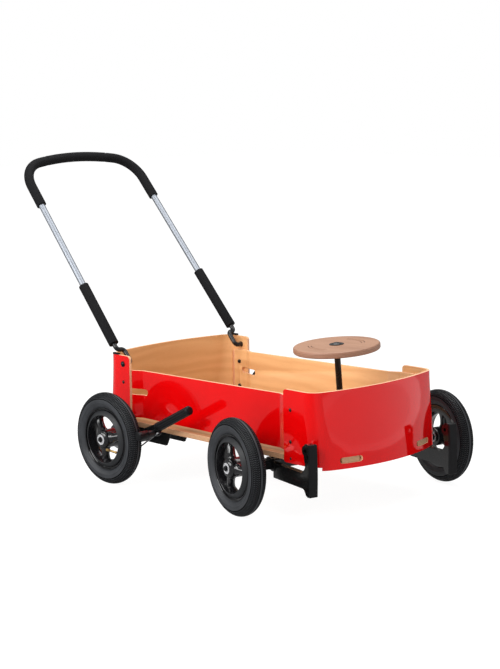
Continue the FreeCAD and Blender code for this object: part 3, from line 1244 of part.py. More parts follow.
def brake_lever():
    y0, y1 = BRAKE_Y - LEVER_W / 2, BRAKE_Y + LEVER_W / 2
    start, along, length = grip_line()
    lever = bar_between(BRAKE_PIVOT, BRAKE_BEND, LEVER_H, y0, y1)
    lever = lever.fuse(cyl(LEVER_BOSS_R, brake_at(BRAKE_PIVOT, y0), Y_AXIS, LEVER_W))
    lever = lever.fuse(cyl(GRIP_CORE_R, start, along, length - GRIP_CORE_SHORT))
    lever = lever.fuse(cyl(COLLAR_R, start + along * COLLAR_AT, along, COLLAR_L))
    root = BRAKE_BEND[0] + LUG_ROOT, BRAKE_BEND[1]
    lever = lever.fuse(bar_between(BRAKE_LUG, root, LUG_H, y0, y0 + LUG_T))
    bar_end = bar_tip() + BRAKE_BAR_CAP_T
    lever = lever.fuse(cyl(BRAKE_BAR_R, brake_at(BRAKE_BAR, bar_end), Y_AXIS, y1 - bar_end))
    notch_x, notch_top = station(BRAKE_BAR[0]), BRAKE_BAR[1] + BAR_NOTCH_UP
    notch = box(notch_x - BAR_NOTCH_L / 2, notch_x + BAR_NOTCH_L / 2, y0 - BAR_NOTCH_W, y0,
                notch_top - BAR_NOTCH_L, notch_top)
    holes = [cyl(BRAKE_PIN_R + RUN_FIT, brake_at(BRAKE_PIVOT, y0), Y_AXIS, LEVER_W), notch,
             cyl(BRAKE_ROD_R + RUN_FIT, brake_at(BRAKE_LUG, y0), Y_AXIS, LUG_T + ROD_PIN_PLAY)]
    return lever.cut(holes)


def bar_tip():
    return -HALF_TRACK - BRAKE_BAR_PAST


def brake_bar_sleeve():
    """Closed rubber sleeve on the end of the lever's cross bar."""
    tip = bar_tip()
    sleeve = cyl(BRAKE_BAR_SLEEVE_R, brake_at(BRAKE_BAR, tip), Y_AXIS, BRAKE_BAR_SLEEVE_L)
    end_edges = [e for e in sleeve.Edges if len(e.Vertexes) == 1 and abs(e.CenterOfMass.y - tip) < 1]
    sleeve = sleeve.makeFillet(BRAKE_BAR_END_R, end_edges)
    return sleeve.cut(cyl(BRAKE_BAR_R, brake_at(BRAKE_BAR, tip + BRAKE_BAR_CAP_T), Y_AXIS, FAR))


def brake_grip():
    """Round-ended rubber sleeve over the lever's core."""
    start, along, length = grip_line()
    first = COLLAR_AT + COLLAR_L
    grip = cyl(GRIP_R, start + along * first, along, length - first)
    end_edges = [e for e in grip.Edges if len(e.Vertexes) == 1
                 and (e.CenterOfMass - (start + along * length)).Length < 1]
    grip = grip.makeFillet(GRIP_END_R, end_edges)
    return grip.cut(cyl(GRIP_CORE_R, start, along, length - GRIP_CORE_SHORT))


def brake_rod():
    """Pull rod whose ends turn in to make its own pins."""
    inner = BRAKE_Y - LEVER_W / 2 + LUG_T + ROD_PIN_PLAY
    outer = ARM_Y - ARM_T - BRAKE_ROD_BEND_R
    points = [brake_at(BRAKE_LUG, inner), brake_at(BRAKE_LUG, BRAKE_ROD_Y),
              brake_at(BRAKE_ARM_TIP, BRAKE_ROD_Y), brake_at(BRAKE_ARM_TIP, outer)]
    return rod(points, BRAKE_ROD_R, BRAKE_ROD_BEND_R)


def brake_arm():
    """Arm on the hanger's lower pin with the shoe that presses on the drum."""
    y0, y1 = ARM_Y - ARM_T, ARM_Y
    seat = SHOE_FACE_X + SHOE_SEAT, SHOE_Z1 - SHOE_SEAT
    arm = bar_between(BRAKE_ARM_TIP, BRAKE_ARM_PIVOT, ARM_UPPER_W, y0, y1)
    arm = arm.fuse(bar_between(BRAKE_ARM_PIVOT, seat, ARM_LOWER_W, y0, y1))
    wheel_side = -HALF_TRACK + HUB_OUT + SHOE_HUB_GAP
    shoe = box(station(SHOE_FACE_X), station(SHOE_FACE_X + SHOE_T), wheel_side, y1, SHOE_Z0, SHOE_Z1)
    holes = [cyl(ARM_PIN_R + RUN_FIT, brake_at(BRAKE_ARM_PIVOT, y0), Y_AXIS, ARM_T),
             cyl(BRAKE_ROD_R + OPEN_PIVOT_PLAY, brake_at(BRAKE_ARM_TIP, y0), Y_AXIS, ARM_T)]
    return arm.fuse(shoe).cut(holes)


def brake_drum():
    """Steel drum screwed to the inner end of the right rear hub."""
    face = V(REAR_AXLE_X, -HALF_TRACK + HUB_OUT, AXLE_Z)
    drum = cyl(DRUM_R, face, Y_AXIS, DRUM_W)
    drum = drum.cut([cyl(DRUM_R - DRUM_WALL, face + Y_AXIS * DRUM_FACE_T, Y_AXIS, DRUM_W),
                     cyl(AXLE_R + DRUM_BORE_STEP, face, Y_AXIS, DRUM_W)])
    for i in range(DRUM_SCREWS):
        a = math.radians(90 + i * 360 / DRUM_SCREWS)
        at = face + V(DRUM_SCREW_AT * math.cos(a), DRUM_FACE_T, DRUM_SCREW_AT * math.sin(a))
        drum = drum.fuse(dome(DRUM_SCREW_R, DRUM_SCREW_H, at, Y_AXIS))
    return drum


def main():
    os.makedirs("parts", exist_ok=True)
    nodes = {}
    outer, inner = tub_body(0), tub_body(PLY)
    nodes["front_panel"] = end_panel(1, outer, inner)
    nodes["rear_panel"] = end_panel(-1, outer, inner)
    nodes["side_panel_right"] = side_panel()
    nodes["side_panel_left"] = mirrored(side_panel())
    nodes["floor_board"] = floor_board()
    nodes["panel_bolts"] = panel_bolts()
    nodes["floor_screws"] = floor_screws()

    nodes["rear_axle_beam"] = axle_beam(REAR_AXLE_X, AXLE_Z)
    nodes["rear_axle_end_bolts"] = group(axle_end_bolts(REAR_AXLE_X))
    nodes["rear_hanger_right"] = rear_hanger(RIGHT)
    nodes["rear_hanger_left"] = rear_hanger(LEFT)
    nodes["floor_bolts"] = group(hanger_bolts() + head_bolts())

    nodes["turntable_upper_plate"] = upper_turntable()
    nodes["kingpin_bush"] = kingpin_bush()
    nodes["steering_head"] = steering_head()
    nodes["column_bushes"] = column_bushes()
    nodes["kingpin"] = kingpin()
    nodes["turntable_lower_plate"] = lower_turntable()
    nodes["turntable_wear_ring"] = wear_ring()
    nodes["front_axle_beam"] = front_beam()
    nodes["front_axle_end_bolts"] = group([turned(b) for b in axle_end_bolts(FRONT_AXLE_X)])
    nodes["foot_bracket_right"] = turned(foot_bracket())
    nodes["foot_bracket_left"] = turned(mirrored(foot_bracket()))
    nodes["foot_pad_right"] = turned(foot_pad())
    nodes["foot_pad_left"] = turned(mirrored(foot_pad()))
    nodes["bracket_bolts"] = bracket_bolts()
    nodes["steering_column"] = steering_column()
    nodes["steering_wheel"] = steering_wheel()
    nodes["steering_cap"] = steering_cap()

    wheel_kit = {"tyre": tyre(), "inner_tube": inner_tube(), "rim": rim(), "bearings": bearings()}
    for name, centre, heading, side in wheel_places():
        for piece, shape in wheel_kit.items():
            nodes[f"{piece}_{name}"] = placed_wheel_piece(piece, shape, name, centre, heading, side)

    nodes["handle_tube"] = handle_tube()
    nodes["handle_grip_centre"] = grip_centre()
    nodes["handle_grip_corners"] = grip_corners()
    nodes["handle_leg_sleeves"] = leg_sleeves()
    nodes["handle_crank_right"] = crank()
    nodes["handle_crank_left"] = mirrored(crank())
    nodes["handle_pivot_bolts"] = pivot_bolts()
    nodes["handle_pivot_bushes"] = pivot_bushes()
    nodes["handle_stop_pads"] = stop_pads()

    nodes["brake_pins"] = brake_pins()
    nodes["brake_lever"] = brake_lever()
    nodes["brake_grip"] = group([brake_grip(), brake_bar_sleeve()])
    nodes["brake_rod"] = brake_rod()
    nodes["brake_arm"] = brake_arm()
    nodes["brake_drum"] = brake_drum()

    low_x = min(s.BoundBox.XMin for s in nodes.values())
    high_x = max(s.BoundBox.XMax for s in nodes.values())
    for name, shape in nodes.items():
        solids, volume = len(shape.Solids), round(shape.Volume / 1000, 1)
        print(f"{name:26s} valid {shape.isValid()} solids {solids} volume {volume} cm3")
        shape.exportStep(f"parts/{name}.step")
    print("pieces", len(nodes), "x middle", round((low_x + high_x) / 2, 2))


main()
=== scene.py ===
# %% [markdown]
# # A wooden wagon with a folding handle
#
# This lesson dresses a finished wagon. The exact parts are loaded first and
# fix every place and size. Each cell then gives one part of the wagon its
# real shape or finish: lacquered plywood, moulded tyres, foam grips, cast
# brackets. Lengths are metres, +X is the wagon's front, +Y its left side.

# %% Load the wagon
import math

import bpy
from mathutils import Matrix, Vector


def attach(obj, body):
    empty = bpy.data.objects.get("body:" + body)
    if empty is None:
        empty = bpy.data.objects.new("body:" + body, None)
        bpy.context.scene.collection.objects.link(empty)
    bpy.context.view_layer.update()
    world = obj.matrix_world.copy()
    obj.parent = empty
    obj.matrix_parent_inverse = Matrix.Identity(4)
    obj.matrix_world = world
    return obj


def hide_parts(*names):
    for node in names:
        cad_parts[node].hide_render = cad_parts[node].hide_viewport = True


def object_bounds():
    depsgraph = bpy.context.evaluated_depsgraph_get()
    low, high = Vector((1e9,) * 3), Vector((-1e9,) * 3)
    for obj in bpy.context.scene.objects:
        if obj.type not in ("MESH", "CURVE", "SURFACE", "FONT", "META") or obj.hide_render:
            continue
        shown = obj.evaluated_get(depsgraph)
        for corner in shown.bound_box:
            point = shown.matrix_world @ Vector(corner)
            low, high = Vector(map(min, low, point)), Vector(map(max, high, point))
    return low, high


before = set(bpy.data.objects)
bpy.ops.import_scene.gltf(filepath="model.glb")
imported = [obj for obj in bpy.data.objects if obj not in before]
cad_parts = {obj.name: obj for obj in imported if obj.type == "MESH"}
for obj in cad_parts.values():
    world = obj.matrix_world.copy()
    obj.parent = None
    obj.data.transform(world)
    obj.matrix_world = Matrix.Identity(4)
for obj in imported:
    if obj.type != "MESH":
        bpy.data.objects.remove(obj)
cad_low, cad_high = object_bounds()
print("box", [round(h - l, 3) for l, h in zip(cad_low, cad_high)])

# %% [markdown]
# The camera stands low, ahead of the wagon and to its right, far enough away
# that the sides stay nearly parallel. The long lens goes with the distance:
# it keeps the near wheel from looking much larger than the far one.

# %% Camera
CAMERA_AT = Vector((4.1973, -3.8703, 1.3962))
CAMERA_RIGHT = Vector((0.68952, 0.72412, -0.01452))
CAMERA_UP = Vector((-0.10556, 0.12031, 0.98711))
CAMERA_LENS, SENSOR, FAR_CLIP = 91.09, 36.0, 50.0

camera_data = bpy.data.cameras.new("camera")
camera = bpy.data.objects.new("camera", camera_data)
bpy.context.scene.collection.objects.link(camera)
camera_back = CAMERA_RIGHT.cross(CAMERA_UP)
camera.matrix_world = Matrix.Translation(CAMERA_AT) @ Matrix(
    (CAMERA_RIGHT, CAMERA_UP, camera_back)).transposed().to_4x4()
camera_data.lens = CAMERA_LENS
camera_data.sensor_width = SENSOR
camera_data.clip_end = FAR_CLIP
bpy.context.scene.camera = camera
print("camera", [round(c, 2) for c in camera.location])

# %% [markdown]
# Sky, floor and finishes are all drawn with shader nodes. Added and linked one
# by one they take a line each, so a few helpers do it together: add a node,
# set it up, and feed its inputs from numbers or from other nodes.

# %% Node helpers
def fresh_tree(owner):
    """Empty node tree of a material or world."""
    owner.use_nodes = True
    owner.node_tree.nodes.clear()
    return owner.node_tree


def feed(tree, target, feeds):
    """Feed a node's inputs from values or other nodes' sockets."""
    for socket, value in feeds.items():
        if isinstance(value, bpy.types.NodeSocket):
            tree.links.new(value, target.inputs[socket])
        else:
            target.inputs[socket].default_value = value


def node(tree, kind, feeds=None, **settings):
    """Add a node, set it up and feed its inputs."""
    made = tree.nodes.new("ShaderNode" + kind)
    for key, value in settings.items():
        setattr(made, key, value)
    feed(tree, made, feeds or {})
    return made


def maths(tree, operation, *values):
    """Sum, product or other operation on numbers."""
    return node(tree, "Math", dict(enumerate(values)), operation=operation).outputs[0]


def toward(tree, vector, direction):
    """How far a vector reaches in a direction."""
    return node(tree, "VectorMath", {0: vector, 1: direction}, operation="DOT_PRODUCT").outputs[1]


def eased(tree, value, low, high, to_low=0.0, to_high=1.0):
    """A value's range moved to another range, clamped."""
    return node(tree, "MapRange", {0: value, 1: low, 2: high, 3: to_low, 4: to_high}).outputs[0]


def by_ray(tree, ray, others, shader):
    """One shader for the rays of a kind, another for the others."""
    is_ray = node(tree, "LightPath").outputs[ray]
    return node(tree, "MixShader", {0: is_ray, 1: others, 2: shader}).outputs[0]


# %% [markdown]
# Gloss lacquer shows the room it stands in, so the room is part of the
# finish. The camera sees a pure white cove. The lacquer sees a dimmer room,
# or a veil of white would wash its red out to pink. Three soft lamps light the
# wagon: a key above the right front, a wide top lamp and a low one on the
# right. A big panel ahead on the left is seen in the gloss only, as an even
# haze on the bowed front.

# %% Studio
SKY, GLOSS_SKY, COVE = 0.62, 0.35, 1.0      # strengths for light, for gloss and for the camera
LAMPS = {       # name: (place, target, size, watts)
    "key": ((0.1, -3.4, 2.5), (0.1, 0, 0.25), (2.4, 1.6), 90),
    "top": ((0.0, 0.3, 3.0), (0.1, 0, 0.2), (3.0, 2.4), 75),
    "panel": ((3.6, 3.2, 0.9), (0.3, 0, 0.4), (7.6, 3.6), 40),
    "side panel": ((-1.6, -3.4, 1.3), (-0.1, 0, 0.3), (2.4, 1.0), 45),
}
scene = bpy.context.scene
scene.view_settings.view_transform = "Standard"
scene.world = bpy.data.worlds.new("studio sky")
tree = fresh_tree(scene.world)
sky, gloss, cove = (
    node(tree, "Background", {"Color": (1, 1, 1, 1), "Strength": strength}).outputs[0]
    for strength in (SKY, GLOSS_SKY, COVE))
seen_sky = by_ray(tree, "Is Camera Ray", by_ray(tree, "Is Glossy Ray", sky, gloss), cove)
node(tree, "OutputWorld", {"Surface": seen_sky})


def area_lamp(name, place, target, size, watts):
    """An oblong soft lamp that looks at a point."""
    data = bpy.data.lights.new(name, "AREA")
    data.shape = "RECTANGLE"
    data.size, data.size_y = size
    data.energy = watts
    lamp = bpy.data.objects.new(name, data)
    scene.collection.objects.link(lamp)
    lamp.location = place
    look = Vector(target) - Vector(place)
    lamp.rotation_euler = look.to_track_quat("-Z", "Y").to_euler()
    return lamp


lamps = {name: area_lamp(name, *numbers) for name, numbers in LAMPS.items()}
lamps["panel"].visible_diffuse = False      # seen in the gloss only
print("lamps", len(lamps))

# %% [markdown]
# Every new piece is made the same way: a primitive is added, some of its
# points are selected, and an edit-mode operator works on what is selected.
# The helpers below keep that short. `pick` selects by place, because there
# is no hand on a mouse here.

# %% Modelling helpers
MM = 0.001
MERGE = 0.00001             # points closer than this are one
MIRROR_Y = Matrix.Scale(-1, 4, (0, 1, 0))


def clear_selection():
    """Object mode with nothing selected."""
    if bpy.context.object and bpy.context.object.mode != "OBJECT":
        bpy.ops.object.mode_set(mode="OBJECT")
    bpy.ops.object.select_all(action="DESELECT")


def only(piece):
    """Make a piece the one selected, active object."""
    clear_selection()
    piece.select_set(True)
    bpy.context.view_layer.objects.active = piece
    return piece


def added(name):
    """The object an operator has just added, under its own name."""
    piece = bpy.context.object
    piece.name = name
    piece.data.name = name
    return piece


def pick(piece, kind, test):
    """Select the vertices, edges or faces whose centre passes a test, in edit mode."""
    only(piece)
    mesh = piece.data
    for part in (mesh.vertices, mesh.edges, mesh.polygons):
        part.foreach_set("select", [False] * len(part))
    if kind == "VERT":
        for v in mesh.vertices:
            v.select = test(v.co)
    elif kind == "EDGE":
        for e in mesh.edges:
            a, b = (mesh.vertices[i].co for i in e.vertices)
            e.select = test((a + b) / 2, a - b)
    else:
        for f in mesh.polygons:
            f.select = test(f.center, f.normal)
    bpy.ops.object.mode_set(mode="EDIT")
    bpy.ops.mesh.select_mode(type=kind)


def pick_all(piece):
    """Select a whole mesh, in edit mode."""
    only(piece)
    bpy.ops.object.mode_set(mode="EDIT")
    bpy.ops.mesh.select_mode(type="VERT")
    bpy.ops.mesh.select_all(action="SELECT")


def done(piece):
    """Back to object mode."""
    bpy.ops.object.mode_set(mode="OBJECT")
    return piece


def work(piece, kind, test, *steps):
    """Run edit-mode steps, (operator, settings), on the parts of a piece that pass a test."""
    pick(piece, kind, test)
    for operator, settings in steps:
        operator(**settings)
    return done(piece)


def modify(piece, kind, **settings):
    """Add a modifier, set it up and apply it."""
    only(piece)
    modifier = piece.modifiers.new(kind.lower(), kind)
    for key, value in settings.items():
        setattr(modifier, key, value)
    bpy.ops.object.modifier_apply(modifier=modifier.name)
    return piece


def settle(piece):
    """Write a piece's place, turn and size into its mesh."""
    only(piece)
    bpy.ops.object.transform_apply(location=True, rotation=True, scale=True)
    return piece


def rounded(piece, width, segments, degrees=50):
    """Round the edges sharper than an angle."""
    return modify(piece, "BEVEL", width=width * MM, segments=segments, limit_method="ANGLE",
                  angle_limit=math.radians(degrees))


def smooth(piece, degrees):
    """Smooth shading, with edges sharper than the angle kept crisp."""
    only(piece)
    bpy.ops.object.shade_smooth_by_angle(angle=math.radians(degrees))
    return piece


def even_shading(piece, degrees=40):
    """Smooth shading in which the large flat faces keep their own direction."""
    return modify(smooth(piece, degrees), "WEIGHTED_NORMAL", keep_sharp=True)


def face_out(piece):
    """Merge doubles and turn all faces outwards."""
    pick_all(piece)
    bpy.ops.mesh.remove_doubles(threshold=MERGE)
    bpy.ops.mesh.normals_make_consistent(inside=False)
    return done(piece)


def painted(piece, *materials):
    """Give a piece its materials in place of any it has."""
    piece.data.materials.clear()
    for material in materials:
        piece.data.materials.append(material)
    return piece


def copy_of(piece, name):
    """A copy with a mesh of its own."""
    twin = piece.copy()
    twin.data = piece.data.copy()
    twin.name = twin.data.name = name
    scene.collection.objects.link(twin)
    return twin


def joined(pieces, name):
    """Several objects made one."""
    only(pieces[0])
    for piece in pieces[1:]:
        piece.select_set(True)
    bpy.ops.object.join()
    return added(name)


def move_mesh(piece, matrix):
    """Move a piece's points; a mirroring turns its faces round as well."""
    piece.data.transform(matrix)
    if matrix.determinant() < 0:
        piece.data.flip_normals()
    piece.data.update()
    return piece


def finished(piece, body, material=None, replaces=()):
    """Hand a finished piece to the body it moves with."""
    settle(piece)
    if material:
        painted(piece, material)
    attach(piece, body)
    if replaces:
        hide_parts(*replaces)
    print(piece.name, len(piece.data.polygons), "faces on", body)
    return piece

# %% [markdown]
# The floor is white paper that keeps the wagon's shadow. Most of its light is
# its own, so that it stays white where nothing shades it. In the gloss it is
# dimmer, and dimmer still behind the wagon than ahead of it.

# %% Studio floor
FLOOR_SIZE, FLOOR_DROP = 30.0, 0.0005
FLOOR_WHITE, GLOW_SHARE, FLOOR_GLOW = 0.9, 0.8, 1.17
AHEAD_LEFT = (0.7, 0.7, 0)
BEHIND, AHEAD = -0.6, 0.5               # where the mirrored floor is darkest and lightest
DARKEST, LIGHTEST = 0.28, 0.5
bpy.ops.mesh.primitive_plane_add(size=FLOOR_SIZE, location=(0, 0, cad_low.z - FLOOR_DROP))
floor = added("studio_floor")
floor_paint = bpy.data.materials.new("studio white")
tree = fresh_tree(floor_paint)
paper = node(tree, "BsdfDiffuse", {"Color": (FLOOR_WHITE, FLOOR_WHITE, FLOOR_WHITE, 1)}).outputs[0]
glow = node(tree, "Emission", {"Strength": FLOOR_GLOW}).outputs[0]
glow_share = maths(tree, "MULTIPLY", node(tree, "LightPath").outputs["Is Camera Ray"], GLOW_SHARE)
seen_floor = node(tree, "MixShader", {0: glow_share, 1: paper, 2: glow}).outputs[0]
ahead = toward(tree, node(tree, "TexCoord").outputs["Object"], AHEAD_LEFT)
dimmed = eased(tree, ahead, BEHIND, AHEAD, DARKEST, LIGHTEST)
mirrored = node(tree, "Emission", {"Strength": dimmed}).outputs[0]
node(tree, "OutputMaterial", {"Surface": by_ray(tree, "Is Glossy Ray", seen_floor, mirrored)})
floor.data.materials.append(floor_paint)
print("floor", FLOOR_SIZE, "m wide")

# %% [markdown]
# Real surfaces are never one flat colour. Moulded plastic, rubber and paint
# all vary a little in tone and gloss, and carry a fine relief. One group
# makes that for every plain finish here: it takes a colour, how much it
# varies, how coarse it is, and the shine, and gives back colour, roughness
# and height. Each material then sets its own numbers on its own shader.

# %% Shader group: plain finish
ROUGH_SHARE = 0.35          # how much of the tone's change the roughness shares


def new_group(name, inputs, outputs):
    """Empty shader group with sockets (name, kind, value) in and (name, kind) out."""
    group = bpy.data.node_groups.new(name, "ShaderNodeTree")
    for label, kind, value in inputs:
        socket = group.interface.new_socket(label, in_out="INPUT",
                                            socket_type="NodeSocket" + kind)
        if value is not None:
            socket.default_value = value
    for label, kind in outputs:
        group.interface.new_socket(label, in_out="OUTPUT", socket_type="NodeSocket" + kind)
    return group, group.nodes.new("NodeGroupInput").outputs, group.nodes.new("NodeGroupOutput")


def object_place(tree):
    """Coordinates in metres that stay with the piece."""
    return node(tree, "TexCoord").outputs["Object"]


def stretched(tree, vector, scale):
    """Coordinates scaled on each axis."""
    return node(tree, "Mapping", {"Vector": vector, "Scale": scale}).outputs[0]


def noise(tree, vector, scale, detail, output=0, **more):
    """Cloudy pattern, as a number or as a colour."""
    feeds = {"Vector": vector, "Scale": scale, "Detail": detail, **more}
    return node(tree, "TexNoise", feeds).outputs[output]


def mixed(tree, share, a, b):
    """Colour a turned into colour b by a share."""
    return node(tree, "Mix", {0: share, 6: a, 7: b}, data_type="RGBA").outputs[2]


FINISH, given, result = new_group(
    "plain_finish",
    [("Color", "Color", (0.03, 0.03, 0.03, 1)), ("Vary", "Float", 0.2),
     ("Roughness", "Float", 0.5), ("Patch Scale", "Float", 12.0), ("Grain Scale", "Float", 900.0)],
    [("Color", "Color"), ("Roughness", "Float"), ("Height", "Float")])
where = object_place(FINISH)
patches = noise(FINISH, where, given["Patch Scale"], 4.0, Roughness=0.6)
swing = maths(FINISH, "MULTIPLY", eased(FINISH, patches, 0.3, 0.7, -1.0, 1.0), given["Vary"])
gain = maths(FINISH, "ADD", swing, 1.0)
tone = node(FINISH, "VectorMath", {0: given["Color"], "Scale": gain}, operation="SCALE").outputs[0]
rough_step = maths(FINISH, "MULTIPLY", swing, ROUGH_SHARE)
feed(FINISH, result, {
    "Color": tone,
    "Roughness": maths(FINISH, "ADD", given["Roughness"], rough_step),
    "Height": noise(FINISH, where, given["Grain Scale"], 2.0)})
print("group", FINISH.name, "with", len(FINISH.nodes), "nodes")

# %% Plain materials
def grouped(tree, group, feeds):
    """Place a shader group in a material and set its inputs."""
    return node(tree, "Group", feeds, node_tree=group).outputs


def new_material(name, **constants):
    """Material with one Principled shader whose even values are set on its own sockets."""
    material = bpy.data.materials.new(name)
    tree = fresh_tree(material)
    shader = node(tree, "BsdfPrincipled",
                  {socket.replace("_", " "): value for socket, value in constants.items()})
    node(tree, "OutputMaterial", {"Surface": shader.outputs[0]})
    return material, tree, shader


def surface(tree, shader, color, roughness, height, depth):
    """Wire a shader's colour and roughness, and a relief so many metres deep."""
    bump = node(tree, "Bump", {"Height": height, "Distance": depth}).outputs[0]
    feed(tree, shader, {"Base Color": color, "Roughness": roughness, "Normal": bump})


def plain(name, color, vary, roughness, patch, grain, depth, **constants):
    """Material of the plain finish group."""
    material, tree, shader = new_material(name, **constants)
    finish = grouped(tree, FINISH, {"Color": (*color, 1), "Vary": vary, "Roughness": roughness,
                                    "Patch Scale": patch, "Grain Scale": grain})
    surface(tree, shader, finish["Color"], finish["Roughness"], finish["Height"], depth)
    return material


tyre_rubber = plain("tyre rubber", (0.024, 0.026, 0.030), 0.22, 0.5, 22, 1400, 0.00012,
                    Specular_IOR_Level=0.35)
# The groove rubber is painted shade: the tyre's own rubber, drawn near black and dull in the
# tread's hollows.
groove_shade_rubber = plain("tread groove shade", (0.002, 0.002, 0.002), 0.2, 0.9, 22, 1400, 0.00008,
                      Specular_IOR_Level=0.05)
tube_rubber = plain("inner tube rubber", (0.02, 0.02, 0.022), 0.15, 0.5, 30, 900, 0.00008)
pad_rubber = plain("pad rubber", (0.005, 0.005, 0.006), 0.2, 0.38, 40, 1600, 0.00005,
                   Specular_IOR_Level=0.2)
foam_black = plain("grip foam", (0.005, 0.005, 0.006), 0.25, 0.75, 60, 2600, 0.0002,
                   Specular_IOR_Level=0.15)
rim_gloss = plain("rim plastic", (0.006, 0.006, 0.007), 0.1, 0.14, 18, 400, 0.00002,
                  Coat_Weight=0.4, Coat_Roughness=0.08)
rim_matte = plain("rim face", (0.016, 0.017, 0.019), 0.12, 0.5, 25, 1500, 0.00006,
                  Specular_IOR_Level=0.35)
powder_coat = plain("powder coated steel", (0.006, 0.006, 0.007), 0.15, 0.3, 30, 1100, 0.00006,
                    Specular_IOR_Level=0.4)
casting_black = plain("enamelled casting", (0.003, 0.003, 0.003), 0.12, 0.16, 26, 260, 0.0001,
                      Coat_Weight=0.3, Coat_Roughness=0.06)
bolt_black = plain("black zinc", (0.008, 0.008, 0.009), 0.25, 0.33, 90, 1500, 0.00003,
                   Metallic=0.4)
nylon_black = plain("black nylon", (0.010, 0.010, 0.011), 0.12, 0.36, 40, 1500, 0.00005)
zinc = plain("bright zinc", (0.56, 0.56, 0.58), 0.12, 0.34, 45, 1200, 0.00003, Metallic=1.0)
bearing_steel = plain("bearing steel", (0.66, 0.66, 0.68), 0.08, 0.24, 60, 1800, 0.00001,
                      Metallic=0.55)
brass = plain("brass", (0.75, 0.50, 0.20), 0.12, 0.3, 60, 1500, 0.00002, Metallic=1.0)
print("plain materials", len(bpy.data.materials))

# %% [markdown]
# Drawn aluminium tube carries fine lines along its length, which stretch its
# highlights across the tube. A noise squeezed along the leg draws them. The
# legs lean back, so the pattern is first turned to lie along them.

# %% Aluminium
HANDLE_LEAN = math.radians(48.4)
LINE_SCALE = (4, 160, 160)
aluminium, tree, shader = new_material("satin aluminium", Metallic=0.85)
turned_place = node(tree, "Mapping", {"Vector": object_place(tree),
                                      "Rotation": (0, HANDLE_LEAN, 0)}).outputs[0]
lines = noise(tree, stretched(tree, turned_place, LINE_SCALE), 1.0, 3.0)
line_share = eased(tree, lines, 0.3, 0.7)
feed(tree, shader, {
    "Base Color": mixed(tree, line_share, (0.25, 0.27, 0.30, 1), (0.29, 0.31, 0.345, 1)),
    "Roughness": eased(tree, lines, 0.3, 0.7, 0.42, 0.48)})
print("aluminium lines at", round(math.degrees(HANDLE_LEAN), 1), "degrees")

# %% [markdown]
# Birch plywood shows three faces. The flat faces are rotary-cut veneer: wide
# soft figure with fine dark pores along the grain. The cut edges show the
# layers, light along the grain and darker across it. Outside, the tub is
# sprayed with red gloss lacquer. Two shader groups draw the veneer and the
# layers, and the lacquer is a plain colour under a thick clear coat.

# %% Shader group: birch veneer
DRIFT, RING_SHARE = 0.35, 0.4       # how far the figure wanders, and how much of it is rings
PORE_STRETCH = (2.0, 9.0, 16.0)

VENEER, given, result = new_group(
    "birch_veneer",
    [("Vector", "Vector", None), ("Light", "Color", (0.82, 0.46, 0.19, 1)),
     ("Dark", "Color", (0.62, 0.30, 0.10, 1)), ("Figure", "Float", 0.6), ("Pores", "Float", 0.5)],
    [("Color", "Color"), ("Height", "Float"), ("Tone", "Float")])
drift = noise(VENEER, given["Vector"], 1.6, 2.0, output=1)
bent = node(VENEER, "MixRGB", {0: DRIFT, 1: given["Vector"], 2: drift}).outputs[0]
broad = noise(VENEER, bent, 2.2, 5.0, Roughness=0.55, Distortion=0.7)
rings = node(VENEER, "TexWave",
             {"Vector": bent, "Scale": 1.3, "Distortion": 6.0, "Detail": 3.0, "Detail Scale": 1.4},
             wave_type="BANDS", bands_direction="Z", wave_profile="SIN").outputs[1]
fine = noise(VENEER, stretched(VENEER, given["Vector"], PORE_STRETCH), 5.0, 4.0, Roughness=0.7)
figure = eased(VENEER, mixed(VENEER, RING_SHARE, broad, rings), 0.25, 0.8)
figure_share = maths(VENEER, "MULTIPLY", figure, given["Figure"])
toned = mixed(VENEER, figure_share, given["Light"], given["Dark"])
pore_share = maths(VENEER, "MULTIPLY", eased(VENEER, fine, 0.56, 0.74), given["Pores"])
feed(VENEER, result, {"Color": mixed(VENEER, pore_share, toned, given["Dark"]),
                      "Height": fine, "Tone": figure})
print("group", VENEER.name)

# %% Shader group: plywood layers
SPECK_STRETCH = (60, 60, 260)
WOBBLE, FLECK, CROSS_DARK = 0.09, 0.35, 0.55    # uneven glue lines, specks, darker cross layers

LAYERS, given, result = new_group(
    "ply_layers",
    [("Depth", "Float", 0.5), ("Count", "Float", 6.0), ("Vector", "Vector", None),
     ("Light", "Color", (0.86, 0.54, 0.28, 1)), ("Dark", "Color", (0.45, 0.22, 0.09, 1))],
    [("Color", "Color"), ("Height", "Float")])
speck = noise(LAYERS, stretched(LAYERS, given["Vector"], SPECK_STRETCH), 3.0, 3.0)
layer = maths(LAYERS, "ADD", maths(LAYERS, "MULTIPLY", given["Depth"], given["Count"]),
              eased(LAYERS, speck, 0.3, 0.7, -WOBBLE, WOBBLE))
crosswise = maths(LAYERS, "GREATER_THAN", maths(LAYERS, "MODULO", layer, 2.0), 1.0)
fleck = eased(LAYERS, speck, 0.35, 0.75, 0.0, FLECK)
dark_share = maths(LAYERS, "MULTIPLY_ADD", crosswise, CROSS_DARK, fleck)
feed(LAYERS, result, {"Color": mixed(LAYERS, dark_share, given["Light"], given["Dark"]),
                      "Height": speck})
print("group", LAYERS.name)

# %% Sheet wood
def veneer_shades(tree, scale, shades, figure, pores):
    """The veneer group's outputs; the grain runs along the axis with the smallest scale."""
    light, dark = shades
    return grouped(tree, VENEER, {"Vector": stretched(tree, object_place(tree), scale),
                                  "Light": (*light, 1), "Dark": (*dark, 1),
                                  "Figure": figure, "Pores": pores})


def layer_shades(tree, depth, count, shades):
    """The layer group's outputs, at a depth from 0 to 1 through the sheet."""
    light, dark = shades
    return grouped(tree, LAYERS, {"Depth": depth, "Count": count, "Vector": object_place(tree),
                                  "Light": (*light, 1), "Dark": (*dark, 1)})


